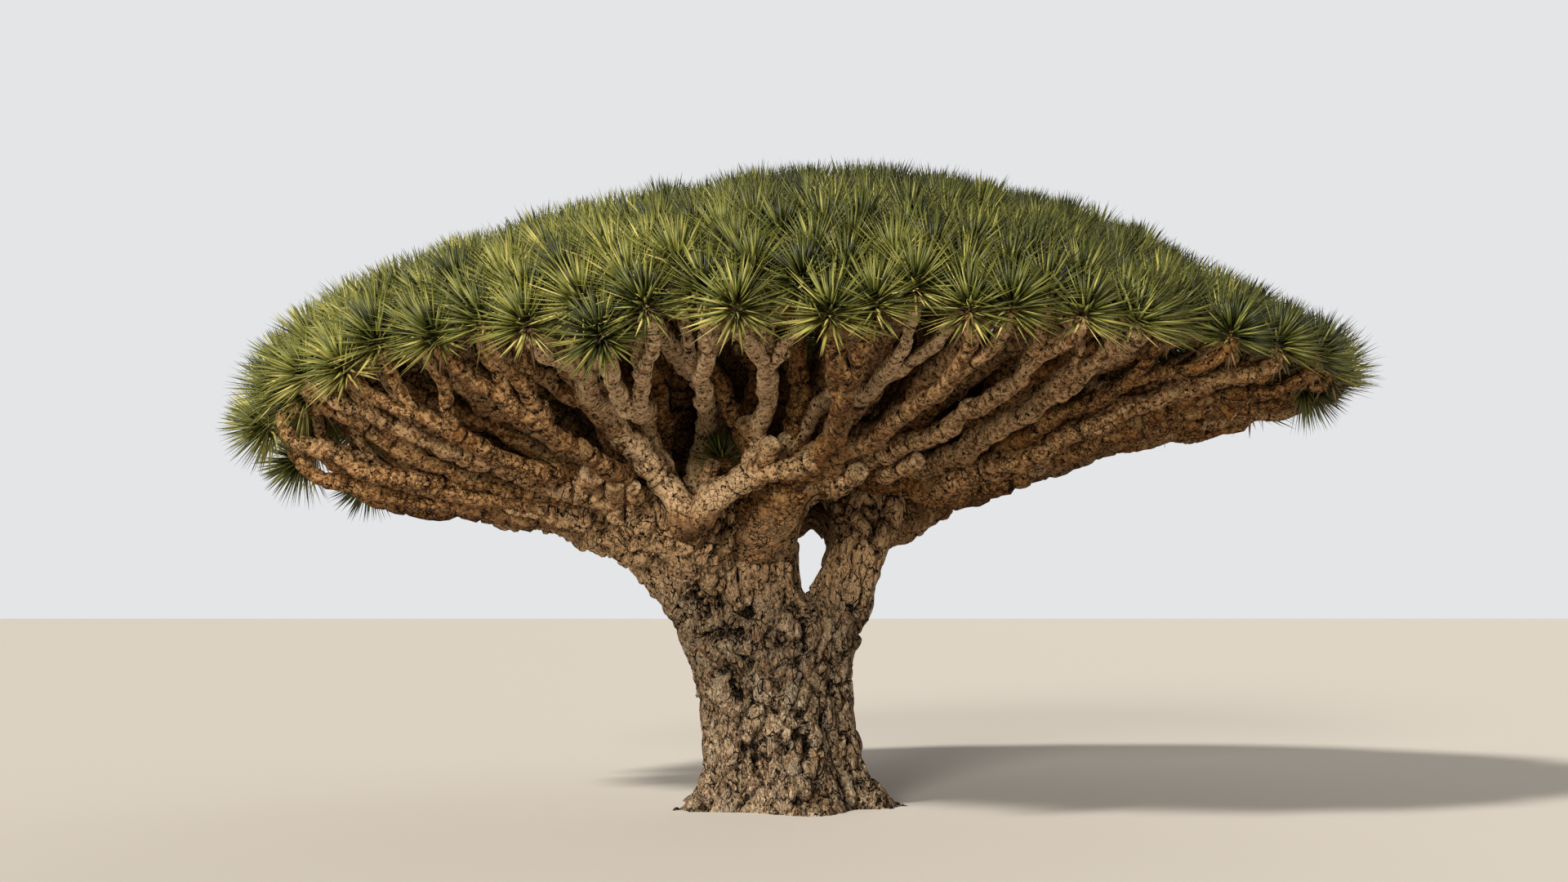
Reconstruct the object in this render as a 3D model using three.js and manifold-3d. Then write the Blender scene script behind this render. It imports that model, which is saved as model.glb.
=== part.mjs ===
// A dragon blood tree: a stout trunk that forks low, boughs that spread like the ribs of an umbrella, and a
// dense domed crown of stiff sword leaves. Millimetres, +Z up, with the origin on the flat cut at ground
// level. The photographed side faces -Y. A bearing is an angle about Z from +X, and the crown is laid out
// by three numbers: a share, 0 on its axis and 1 at its rim, a bearing, and a depth below the leaf tips.

import * as THREE from "three";
import { mergeVertices } from "three/addons/utils/BufferGeometryUtils.js";
import Module from "manifold-3d";

const wasm = await Module();
wasm.setup();

const TURN = 2 * Math.PI;
const FIRST_SEED = 101;
const degrees = THREE.MathUtils.degToRad;
const lerp = THREE.MathUtils.lerp;
const at = (x, y, z) => new THREE.Vector3(x, y, z);

// The crown's outline, to the tips of the leaves
const CROWN_AXIS = at(110, 0, 0);
const REACH_X = 4540;
const REACH_Y = 4420;
const RIM_HEIGHT = 3200;
const RIM_TILT = 250;
const HIGH_SIDE = degrees(-35);
const DOME_HEIGHT = 1730;
const DOME_POWER = 0.6;
const LOBES = [[3, 0.018, 0.6], [5, 0.014, 2.1], [8, 0.008, 4.4]];

// The underside that the lowest boughs follow out from the trunk
const HUB_UNDERSIDE = 1900;
const UNDERSIDE_RISE = 0.24;
const UNDERSIDE_TILT = 400;

// The trunk, as rings of height, centre across and radius, from the ground to where the boughs leave it
const TRUNK_RINGS = [
  [0, 0, 790],
  [110, 0, 700],
  [300, -40, 620],
  [560, -75, 585],
  [850, -95, 590],
  [1120, -110, 625],
  [1330, -130, 690],
  [1480, -190, 720],
  [1640, -400, 650],
  [1830, -530, 640],
  [2030, -550, 680],
  [2220, -490, 630],
  [2360, -470, 420],
];
const TRUNK_SIDES = 22;
const TRUNK_DEPTH_SHARE = 0.93;
const ROOTS = 5;
const ROOT_SPREAD = 0.17;
const ROOT_FADE = 330;
const FLUTE_SPREAD = 0.035;

// The second stem, which leaves a slot of daylight beside the main one
const STEM_PATH = [at(240, 60, 1180), at(420, 70, 1600), at(560, 130, 2000), at(720, 210, 2420)];
const STEM_RADII = [275, 235];
const STEM_SIDES = 12;
const STEM_RINGS = 6;

// Boughs leave the main stem or the second stem and end at a fork, one in each sixth of the crown. An arch
// lifts the middle of a bough.
const BOUGHS = 6;
const FIRST_BEARING = degrees(30);
const HUB = at(-450, 0, 1930);
const STEM_HUB = at(680, 190, 2300);
const STEM_BOUGHS = 2;
const FORK_OUT = 1330;
const BOUGH_RADII = [290, 200];
const BOUGH_SIDES = 9;
const BOUGH_ARCHES = [-40, -40, -40, -40, 20, 330];
const LEADER_PATH = [at(-430, 0, 2000), at(-300, 20, 2420), at(-60, 10, 2880)];
const LEADER_RADII = [260, 190];

// Limbs run from a bough's fork to one mass of foliage each. Those to the rim keep a rise over the
// underside, and the others bow outward.
const LIMB_SIDES = 7;
const LIMB_RINGS = 3;
const RIM_LIMB = { out: 2780, radii: [165, 112], rise: 115, bend: 0.55 };
const SHOULDER_LIMB = { out: 1740, radii: [150, 100], height: 3200, bow: 60 };
const TOP_LIMB = { out: 430, radii: [140, 95], height: 3560, bow: 40 };

// The crown's three rings of foliage: shares of the reach, masses round, rosettes in a mass and leaves in a
// rosette, the steps of the dense core from its inner to its outer edge and round, its greatest thickness,
// and the radius of a mass's own twigs
const LEAVES = 5;
const RINGS = [
  { name: "rim", shares: [0.66, 1], masses: 12, rosettes: 6, steps: [3, 3], thick: 2000, twig: 92 },
  { name: "shoulder", shares: [0.33, 0.66], masses: 6, rosettes: 6, steps: [2, 4], thick: 1250, twig: 88 },
  { name: "top", shares: [0.01, 0.33], masses: 3, rosettes: 5, steps: [2, 5], thick: 1000, twig: 84 },
];
const ROUND_GAP = 12;
const RING_GAP = 36;

// The dense core of a mass: the depth of its top, its floor over the underside, and its edge's thickness
const CORE_TOP = 170;
const CORE_FLOOR = 220;
const CORE_EDGE = 120;
const CORE_ROUGHNESS = 30;

// Rosettes of sword leaves: how deep their feet lie, the slope angle of those at the rim, the margins that
// they keep to the mass's edges, and how closely they crowd towards the rim
const ROSETTE_DEPTH = 400;
const RIM_SLOPE = degrees(85);
const SLOPE_MARGIN = 0.03;
const ROUND_MARGIN = 0.14;
const RIM_CROWDING = 0.8;
const GOLDEN_SHARE = 0.618;
const LEAF_LENGTH = 420;
const LEAF_LENGTH_RANGE = [0.92, 1.02];
const LEAF_WIDTH_SHARE = 0.225;
const LEAF_THICKNESS_SHARE = 0.05;
const LEAF_WIDEST = 0.38;
const CENTRE_LEAN = degrees(5);
const LEAF_LEANS = [degrees(30), degrees(50)];

// Twigs: three-sided, thinner past each fork, with each fork a share of the way to the middle of its
// targets. A mass's stem is a little thinner than its limb and ends in a collar.
const TWIG_SIDES = 3;
const TWIG_TAPER = 0.78;
const FORK_SHARE = 0.4;
const STEM_SHARE = 0.94;
const COLLAR_LENGTH = 145;

// A small tuft grows under the crown, on its own twig from the front bough
const TUFT = { from: at(-150, -760, 2230), foot: at(-330, -1000, 2450), head: at(-470, -1150, 2690) };
const TUFT_RADII = [62, 44];
const TUFT_LEAVES = 11;
const TUFT_LEAF = 270;
const TUFT_SPREAD = degrees(78);
const TUFT_TURN = 2.4;

// The clearance between neighbouring solids, and the sizes below which vertices merge and slivers go
const CLEAR = 0.4;
const MERGE = 1e-3;
const SIMPLIFY = 0.02;

// Past this cosine a direction counts as nearly upright
const UPRIGHT = 0.85;

const BARK_TRUNK = { color: 0x7d6a56, roughness: 0.95, metalness: 0 };
const BARK_LIMB = { color: 0xa5835f, roughness: 0.9, metalness: 0 };
const FOLIAGE = { color: 0x54662a, roughness: 0.6, metalness: 0 };

// Seeded numbers from 0 to 1, so that the tree is the same each time
function seeded(seed) {
  let state = seed;
  return () => {
    state = (state + 0x6d2b79f5) | 0;
    let mixed = Math.imul(state ^ (state >>> 15), 1 | state);
    mixed = (mixed + Math.imul(mixed ^ (mixed >>> 7), 61 | mixed)) ^ mixed;
    return ((mixed ^ (mixed >>> 14)) >>> 0) / 2 ** 32;
  };
}

// Solids and geometry

function solidOf(geometry) {
  const bare = new THREE.BufferGeometry().setAttribute("position", geometry.getAttribute("position"));
  bare.setIndex(geometry.index);
  const merged = mergeVertices(bare, MERGE);
  const vertProperties = new Float32Array(merged.attributes.position.array);
  const triVerts = new Uint32Array(merged.index.array);
  const solid = new wasm.Manifold(new wasm.Mesh({ numProp: 3, vertProperties, triVerts }));
  if (solid.volume() > 0) return solid;
  for (let i = 0; i < triVerts.length; i += 3) {
    [triVerts[i + 1], triVerts[i + 2]] = [triVerts[i + 2], triVerts[i + 1]];
  }
  return new wasm.Manifold(new wasm.Mesh({ numProp: 3, vertProperties, triVerts }));
}

function geometryOf(solid) {
  const made = solid.getMesh();
  const geometry = new THREE.BufferGeometry();
  geometry.setAttribute("position", new THREE.BufferAttribute(new Float32Array(made.vertProperties), 3));
  geometry.setIndex(new THREE.BufferAttribute(new Uint32Array(made.triVerts), 1));
  geometry.computeVertexNormals();
  return geometry;
}

// The largest body of a solid, where a cut may have left several
function largest(solid) {
  return solid.decompose().sort((a, b) => b.volume() - a.volume())[0];
}

// What is left of a solid clear of its neighbours, which are given swollen by the clearance
function cutClear(solid, swollen) {
  return largest(swollen.reduce((left, other) => left.subtract(other), solid).simplify(SIMPLIFY));
}

// Moves every vertex of a geometry to where place() puts it
function reshape(geometry, place) {
  const position = geometry.getAttribute("position");
  const vertex = new THREE.Vector3();
  for (let i = 0; i < position.count; i += 1) {
    vertex.fromBufferAttribute(position, i);
    position.setXYZ(i, ...place(vertex).toArray());
  }
  return geometry;
}

// A level side direction across a forward one
function sideOf(forward) {
  const steady = Math.abs(forward.z) < UPRIGHT ? at(0, 0, 1) : at(0, 1, 0);
  return forward.clone().cross(steady).normalize();
}

// The crown's own coordinates

// How far the leaf tips reach from the crown's axis: an oval with lobes
function reach(bearing) {
  const oval = 1 / Math.hypot(Math.cos(bearing) / REACH_X, Math.sin(bearing) / REACH_Y);
  const lobes = LOBES.map(([count, size, phase]) => size * Math.sin(count * bearing + phase));
  return oval * lobes.reduce((sum, lobe) => sum + lobe, 1);
}

function outward(bearing, out, height) {
  return at(CROWN_AXIS.x + out * Math.cos(bearing), CROWN_AXIS.y + out * Math.sin(bearing), height);
}

function rimTilt(share, bearing) {
  return RIM_TILT * share * Math.cos(bearing - HIGH_SIDE);
}

function crownPoint(share, bearing, depth) {
  const rise = (DOME_HEIGHT - depth) * (1 - share ** 2) ** DOME_POWER;
  return outward(bearing, share * (reach(bearing) - depth), RIM_HEIGHT + rimTilt(share, bearing) + rise);
}

// The way out of the crown at a share that is the sine of the slope angle
function crownNormal(slope, bearing) {
  const step = 0.01;
  const tip = (slopeStep, roundStep) => crownPoint(Math.sin(slope + slopeStep), bearing + roundStep, 0);
  const along = tip(step, 0).sub(tip(-step, 0));
  const round = tip(0, step).sub(tip(0, -step));
  return along.cross(round).normalize();
}

// The share and bearing at which a point lies, found by halving
function crownPlace(point) {
  const flat = point.clone().sub(CROWN_AXIS);
  const bearing = Math.atan2(flat.y, flat.x);
  const out = Math.hypot(flat.x, flat.y);
  let [low, high] = [0.001, 1];
  for (let i = 0; i < 24; i += 1) {
    const share = (low + high) / 2;
    const depth = reach(bearing) - out / share;
    if (crownPoint(share, bearing, depth).z > point.z) low = share;
    else high = share;
  }
  return { share: (low + high) / 2, bearing, out };
}

function underside(out, bearing) {
  const tilt = (UNDERSIDE_TILT * out * Math.cos(bearing - HIGH_SIDE)) / REACH_X;
  return HUB_UNDERSIDE + UNDERSIDE_RISE * out + tilt;
}

// Trunk and limbs

// The trunk: a barrel whose rings follow the table of rings, spread at the foot into roots and fluted all
// the way
function trunk(extra = 0) {
  const rings = TRUNK_RINGS.length - 1;
  const barrel = new THREE.CylinderGeometry(1, 1, 1, TRUNK_SIDES, rings);
  return reshape(barrel, (vertex) => {
    const ring = Math.round((vertex.y + 0.5) * rings);
    const [height, across, radius] = TRUNK_RINGS[ring];
    const angle = Math.atan2(vertex.z, vertex.x);
    const spread = ROOT_SPREAD * Math.exp(-height / ROOT_FADE) * Math.cos(ROOTS * angle + 0.4);
    const flute = FLUTE_SPREAD * Math.sin(3 * angle + height / 700);
    const wide = (radius * (1 + spread + flute) + extra) * Math.hypot(vertex.x, vertex.z);
    const top = ring === rings ? extra : 0;
    return at(across + wide * Math.cos(angle), wide * TRUNK_DEPTH_SHARE * Math.sin(angle), height + top);
  });
}

// A tapering limb on a smooth curve: a cylinder whose rings are moved onto the curve. Radii are spaced
// evenly along it, and extra makes it swell all round.
function limb({ path, radii, sides = LIMB_SIDES, rings = LIMB_RINGS }, extra = 0) {
  const curve = new THREE.CatmullRomCurve3(path);
  const across = sideOf(path[path.length - 1].clone().sub(path[0]).normalize());
  const tube = new THREE.CylinderGeometry(1, 1, 1, sides, rings);
  return reshape(tube, (vertex) => {
    const share = vertex.y + 0.5;
    const forward = curve.getTangent(share);
    const lift = across.clone().cross(forward).normalize();
    const side = forward.clone().cross(lift);
    const place = Math.min(share * (radii.length - 1), radii.length - 1.001);
    const radius = lerp(radii[Math.floor(place)], radii[Math.floor(place) + 1], place % 1) + extra;
    const end = (share === 1 ? extra : 0) - (share === 0 ? extra : 0);
    return curve
      .getPoint(share)
      .addScaledVector(side, radius * vertex.x)
      .addScaledVector(lift, radius * vertex.z)
      .addScaledVector(forward, end);
  });
}

function boughShapes() {
  const shapes = [];
  for (let i = 0; i < BOUGHS; i += 1) {
    const bearing = FIRST_BEARING + (i * TURN) / BOUGHS;
    const from = i < STEM_BOUGHS ? STEM_HUB : HUB;
    const fork = outward(bearing, FORK_OUT, underside(FORK_OUT, bearing) + BOUGH_RADII[1]);
    const middle = from.clone().lerp(fork, 0.5);
    middle.z += BOUGH_ARCHES[i];
    const path = [from, middle, fork];
    shapes.push({ name: `bough_${i + 1}`, path, radii: BOUGH_RADII, sides: BOUGH_SIDES });
  }
  shapes.push({ name: "bough_centre", path: LEADER_PATH, radii: LEADER_RADII, sides: BOUGH_SIDES });
  return shapes;
}

// A limb's end, and the way that it points there
function endOf(shape) {
  const [before, end] = shape.path.slice(-2);
  return { end, forward: end.clone().sub(before).normalize() };
}

function rimLimb(bearing, fork) {
  const foot = outward(bearing, RIM_LIMB.out, underside(RIM_LIMB.out, bearing) + RIM_LIMB.rise);
  const middle = fork.clone().lerp(foot, RIM_LIMB.bend);
  middle.z = underside(lerp(FORK_OUT, RIM_LIMB.out, RIM_LIMB.bend), bearing) + RIM_LIMB.rise;
  return { path: [fork, middle, foot], radii: RIM_LIMB.radii };
}

// A limb that climbs into the crown from a fork, bowed outward
function climbingLimb({ out, height, bow, radii }, bearing, fork) {
  const foot = outward(bearing, out, height + rimTilt(out / REACH_X, bearing));
  const middle = fork.clone().lerp(foot, 0.5);
  middle.x += bow * Math.cos(bearing);
  middle.y += bow * Math.sin(bearing);
  return { path: [fork, middle, foot], radii };
}

// Foliage

// One stiff sword leaf: two three-sided cones base to base, drawn flat, the short one down to the root and
// the long one up to the tip
function leaf(root, way, length, turn) {
  const side = sideOf(way).applyAxisAngle(way, turn);
  const lift = side.clone().cross(way);
  return reshape(new THREE.SphereGeometry(1, 3, 2), (vertex) => {
    const belt = Math.abs(vertex.y) < 0.5;
    const along = belt ? LEAF_WIDEST : (vertex.y + 1) / 2;
    const across = belt ? (vertex.z * LEAF_WIDTH_SHARE) / 2 : 0;
    const thick = belt ? (vertex.x * LEAF_THICKNESS_SHARE) / 1.5 : 0;
    return root
      .clone()
      .addScaledVector(side, across * length)
      .addScaledVector(lift, thick * length)
      .addScaledVector(way, along * length);
  });
}

// A direction that leans away from an axis by an angle, at a turn about it
function leaning(axis, lean, turn) {
  return axis.clone().applyAxisAngle(sideOf(axis), lean).applyAxisAngle(axis, turn);
}

// The space of one mass: shares and bearings, with a gap to its neighbours at every distance from the axis
function spaceOf(ring, index) {
  const width = TURN / ring.masses;
  const gap = RING_GAP / 2 / REACH_X;
  const high = ring.shares[1] === 1 ? 1 : ring.shares[1] - gap;
  const bearings = [index * width, (index + 1) * width];
  return { shares: [ring.shares[0] + gap, high], bearings, middle: (index + 0.5) * width };
}

function insideBearing(space, turn, out) {
  const inset = ROUND_GAP / 2 / out;
  return lerp(space.bearings[0] + inset, space.bearings[1] - inset, turn);
}

function isInside(space, point) {
  const { share, bearing, out } = crownPlace(point);
  const turn = THREE.MathUtils.euclideanModulo(bearing - space.bearings[0], TURN);
  const width = space.bearings[1] - space.bearings[0];
  const inset = ROUND_GAP / out;
  const high = space.shares[1] === 1 ? 2 : space.shares[1];
  return share > space.shares[0] && share < high && turn > inset && turn < width - inset;
}

// The dense core of leaf bases and twigs, as a curved slab that fills the mass's space between upright
// walls
function core(space, ring, random) {
  const slab = new THREE.BoxGeometry(1, 1, 1, ring.steps[0], ring.steps[1], 1);
  const rough = new Map();
  return reshape(slab, (vertex) => {
    const share = lerp(space.shares[0], space.shares[1], Math.sin((vertex.x + 0.5) * degrees(90)));
    const bearing = insideBearing(space, vertex.y + 0.5, share * REACH_X);
    const out = share * (reach(bearing) - CORE_TOP);
    const key = [vertex.x, vertex.y, vertex.z].map((number) => number.toFixed(3)).join();
    if (!rough.has(key)) rough.set(key, (random() - 0.5) * 2 * CORE_ROUGHNESS);
    const top = crownPoint(share, bearing, CORE_TOP).z;
    const floor = Math.max(top - ring.thick, underside(out, bearing) + CORE_FLOOR);
    const level = vertex.z > 0 ? top : Math.min(floor, top - CORE_EDGE);
    return outward(bearing, out, level + rough.get(key));
  });
}

// Where the rosettes of a mass stand, and which way they face: a golden-ratio walk spreads them over its
// space
function rosettePlaces(space, count, random) {
  const start = random();
  const leanIn = (REACH_X - CORE_TOP) / (REACH_X - ROSETTE_DEPTH);
  const low = Math.asin(space.shares[0] * leanIn) + SLOPE_MARGIN;
  const high = space.shares[1] === 1 ? RIM_SLOPE : Math.asin(space.shares[1]) - SLOPE_MARGIN;
  const places = [];
  for (let i = 0; i < count; i += 1) {
    const slope = lerp(low, high, (i / (count - 1)) ** RIM_CROWDING);
    const turn = lerp(ROUND_MARGIN, 1 - ROUND_MARGIN, (start + i * GOLDEN_SHARE) % 1);
    const bearing = insideBearing(space, turn, Math.sin(slope) * REACH_X);
    const root = crownPoint(Math.sin(slope), bearing, ROSETTE_DEPTH);
    places.push({ root, normal: crownNormal(slope, bearing) });
  }
  return places;
}

// The rule of growth: a twig runs part of the way to the middle of its targets and forks in two across
// their longest spread, until each twig has one target. One half carries the twig on, and the other starts
// anew from the fork. Past a fork both are thinner by a set share.
function growTwigs(path, radii, targets, twigs) {
  const from = path[path.length - 1];
  const narrow = radii[radii.length - 1] * TWIG_TAPER;
  if (targets.length === 1) {
    const whole = [...path, targets[0]];
    twigs.push({ path: whole, radii: [...radii, narrow], sides: TWIG_SIDES, rings: path.length });
    return;
  }
  const sum = targets.reduce((total, target) => total.add(target), at(0, 0, 0));
  const middle = sum.divideScalar(targets.length);
  const fork = from.clone().lerp(middle, FORK_SHARE);
  const spreadOf = (axis) => {
    const values = targets.map((target) => target[axis]);
    return Math.max(...values) - Math.min(...values);
  };
  const [longest] = ["x", "y", "z"].sort((a, b) => spreadOf(b) - spreadOf(a));
  const sorted = [...targets].sort((a, b) => a[longest] - b[longest]);
  const half = Math.ceil(sorted.length / 2);
  growTwigs([...path, fork], [...radii, narrow], sorted.slice(0, half), twigs);
  growTwigs([fork], [narrow], sorted.slice(half), twigs);
}

// One mass of foliage: a stem that meets its limb face to face, twigs, the dense core, and leaves that
// stand out of it. A twig or leaf that would leave the mass's space or touch a limb is skipped.
function foliageMass({ ring, space, shape }, obstacles, random) {
  const { end: foot, forward } = endOf(shape);
  const start = foot.clone().addScaledVector(forward, CLEAR);
  const collar = start.clone().addScaledVector(forward, COLLAR_LENGTH);
  const stem = { path: [start, collar], radii: [shape.radii[1] * STEM_SHARE, ring.twig], rings: 1 };
  const places = rosettePlaces(space, ring.rosettes, random);
  const twigs = [];
  growTwigs([start.clone().lerp(collar, 0.5)], [ring.twig], places.map(({ root }) => root), twigs);

  const parts = [solidOf(limb(stem)), cutClear(solidOf(core(space, ring, random)), obstacles)];
  const addIfClear = (solid) => {
    if (obstacles.every((other) => solid.intersect(other).isEmpty())) parts.push(solid);
  };
  for (const twig of twigs) addIfClear(solidOf(limb(twig)));
  for (const { root, normal } of places) {
    for (let i = 0; i < LEAVES; i += 1) {
      const lean = i === 0 ? CENTRE_LEAN : lerp(...LEAF_LEANS, random());
      const turn = ((i + random() * 0.5) * TURN) / (LEAVES - 1);
      const way = leaning(normal, lean, turn);
      const length = LEAF_LENGTH * lerp(...LEAF_LENGTH_RANGE, random());
      const blade = leaf(root, way, length, random() * TURN);
      if (isInside(space, root.clone().addScaledVector(way, length))) addIfClear(solidOf(blade));
    }
  }
  return largest(wasm.Manifold.union(parts).simplify(SIMPLIFY));
}

// The tuft under the crown: a twig cut clear of its bough, and short leaves all round its head
function innerTuft(obstacles, random) {
  const { from, foot, head } = TUFT;
  const parts = [solidOf(limb({ path: [from, foot, head], radii: TUFT_RADII, sides: LIMB_SIDES }))];
  const axis = head.clone().sub(foot).normalize().lerp(at(0, 0, 1), 0.5).normalize();
  const root = head.clone().addScaledVector(axis, -TUFT_RADII[1]);
  for (let i = 0; i < TUFT_LEAVES; i += 1) {
    const way = leaning(axis, TUFT_SPREAD * Math.sqrt(i / TUFT_LEAVES), i * TUFT_TURN);
    const length = TUFT_LEAF * lerp(...LEAF_LENGTH_RANGE, random());
    parts.push(solidOf(leaf(root, way, length, random() * TURN)));
  }
  return cutClear(wasm.Manifold.union(parts), obstacles);
}

// The whole tree

const tree = new THREE.Group();

function addNode(name, solid, look) {
  const mesh = new THREE.Mesh(geometryOf(solid), new THREE.MeshStandardMaterial(look));
  mesh.name = name;
  tree.add(mesh);
}

// Stands the limbs first, each cut clear of those before it, and then grows a mass of foliage on each limb
function build() {
  const swollen = [];
  const stand = (name, make, look) => {
    addNode(name, cutClear(solidOf(make(0)), swollen), look);
    swollen.push(solidOf(make(CLEAR)));
  };
  stand("trunk", trunk, BARK_TRUNK);
  const stem = { path: STEM_PATH, radii: STEM_RADII, sides: STEM_SIDES, rings: STEM_RINGS };
  stand("stem_right", (extra) => limb(stem, extra), BARK_TRUNK);
  const boughs = boughShapes();
  for (const bough of boughs) stand(bough.name, (extra) => limb(bough, extra), BARK_LIMB);

  const masses = [];
  const grow = (ring, limbShape) => {
    for (let i = 0; i < ring.masses; i += 1) {
      const space = spaceOf(ring, i);
      const shape = limbShape(i, space.middle);
      const label = `${ring.name}_${String(i + 1).padStart(2, "0")}`;
      stand(`limb_${label}`, (extra) => limb(shape, extra), BARK_LIMB);
      masses.push({ name: `foliage_${label}`, ring, space, shape });
    }
  };
  const forkOf = (i) => endOf(boughs[i]).end;
  const [rim, shoulder, top] = RINGS;
  grow(rim, (i, bearing) => rimLimb(bearing, forkOf(Math.floor((i * BOUGHS) / rim.masses))));
  grow(shoulder, (i, bearing) => climbingLimb(SHOULDER_LIMB, bearing, forkOf(i)));
  grow(top, (i, bearing) => climbingLimb(TOP_LIMB, bearing, forkOf(BOUGHS)));

  masses.forEach((mass, i) => {
    addNode(mass.name, foliageMass(mass, swollen, seeded(FIRST_SEED + i)), FOLIAGE);
  });
  addNode("inner_tuft", innerTuft(swollen, seeded(FIRST_SEED - 1)), FOLIAGE);
}

build();

export default tree;
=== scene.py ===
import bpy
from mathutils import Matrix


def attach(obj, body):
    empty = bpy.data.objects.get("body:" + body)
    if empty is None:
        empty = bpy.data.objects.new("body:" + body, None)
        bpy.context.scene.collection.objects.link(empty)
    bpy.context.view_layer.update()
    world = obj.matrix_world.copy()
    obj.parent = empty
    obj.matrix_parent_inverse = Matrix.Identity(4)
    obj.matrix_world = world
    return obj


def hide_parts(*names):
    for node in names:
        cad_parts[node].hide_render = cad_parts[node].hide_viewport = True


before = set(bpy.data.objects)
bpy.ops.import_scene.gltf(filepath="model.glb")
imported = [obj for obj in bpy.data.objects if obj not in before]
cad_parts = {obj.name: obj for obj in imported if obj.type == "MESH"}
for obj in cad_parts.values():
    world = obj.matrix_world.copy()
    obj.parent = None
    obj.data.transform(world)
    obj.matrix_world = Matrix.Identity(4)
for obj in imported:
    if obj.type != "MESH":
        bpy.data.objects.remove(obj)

"""A dragon blood tree: rough forked trunk, ringed limbs like umbrella ribs, and a dome of sword leaves."""

import itertools
import logging
import math
from dataclasses import dataclass, field
from enum import Enum
from typing import Any, Optional

import bpy
import numpy as np

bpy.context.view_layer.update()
LOG = logging.getLogger("tree")

Colour = tuple[float, float, float]
Span = tuple[float, float]
Array = np.ndarray
Chance = np.random.Generator
Piece = bpy.types.Object

TURN = 2 * math.pi
UP = np.array((0.0, 0.0, 1.0))
GOLDEN_ANGLE = math.pi * (3 - math.sqrt(5))
PRIMES = [np.uint64(prime) for prime in (374761393, 668265263, 2246822519, 3266489917)]

# Each pattern and each set of draws adds a number of its own to this one.
SEED = 41


# Numbers and points

def unit(vectors: Array) -> Array:
    """Vectors at a length of 1."""
    return vectors / np.linalg.norm(vectors, axis=-1, keepdims=True)


def mix(low: Any, high: Any, share: Any) -> Any:
    """A value part of the way from one to another."""
    return low + (high - low) * share


def across(way: Array) -> Array:
    """A direction square to each of some directions."""
    steady = np.where(np.abs(way[..., 2:3]) < 0.9, UP, np.array((0.0, 1.0, 0.0)))
    return unit(np.cross(way, steady))


def hashed(cells: Array, seed: int) -> Array:
    """Numbers from 0 to 1 for whole-numbered cells of space.

    Args:
        cells: whole numbers, three to a cell.
        seed: picks one of many patterns.

    Returns:
        One number for each cell.
    """
    x, y, z = (cells[..., axis].astype(np.int64).astype(np.uint64) for axis in range(3))
    mixed = x * PRIMES[0] + y * PRIMES[1] + z * PRIMES[2] + np.uint64(seed) * PRIMES[3]
    for shift, prime in ((15, PRIMES[2]), (13, PRIMES[3])):
        mixed = (mixed ^ (mixed >> np.uint64(shift))) * prime
    return ((mixed >> np.uint64(20)) & np.uint64(0xFFFF)) / 65535.0


def ripple(points: Array, size: float, seed: int) -> Array:
    """Smooth random numbers from -1 to 1 over space.

    Args:
        points: places in metres.
        size: the width of one ripple, in metres.
        seed: picks one of many patterns.

    Returns:
        One number for each place.
    """
    scaled = points / size
    cell = np.floor(scaled)
    near = scaled - cell
    near = near * near * (3 - 2 * near)
    total = np.zeros(points.shape[:-1])
    for corner in itertools.product((0, 1), repeat=3):
        weight = np.prod(np.where(np.array(corner) > 0, near, 1 - near), axis=-1)
        total += weight * hashed(cell + np.array(corner), seed)
    return total * 2 - 1


def wander(points: Array, size: float, reach: float, seed: int) -> Array:
    """Points moved by smooth random steps, the same steps at the same place."""
    steps = [ripple(points, size, seed + axis) for axis in range(3)]
    return points + reach * np.stack(steps, axis=-1)


def curve_through(points: Array, radii: Array, steps: int = 9) -> tuple[Array, Array]:
    """A smooth curve through points that never swings wide of them.

    Args:
        points: the places it passes.
        radii: the radius at each place.
        steps: samples from one place to the next.

    Returns:
        The samples along the curve, and a radius for each.
    """
    legs = np.diff(points, axis=0)
    ways = unit(legs)
    bends = np.vstack([ways[:1], unit(ways[1:] + ways[:-1] + 1e-6), ways[-1:]])
    share = np.linspace(0, 1, steps, endpoint=False)[:, None]
    samples = []
    for leg, start, end, first, last in zip(legs, points, points[1:], bends, bends[1:]):
        length = np.linalg.norm(leg)
        samples.append(
            (2 * share**3 - 3 * share**2 + 1) * start
            + (share**3 - 2 * share**2 + share) * length * first
            + (3 * share**2 - 2 * share**3) * end
            + (share**3 - share**2) * length * last
        )
    samples.append(points[-1:])
    curve = np.vstack(samples)
    place = np.arange(len(curve)) / steps
    return curve, np.interp(place, np.arange(len(radii)), radii)


# The crown

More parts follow.
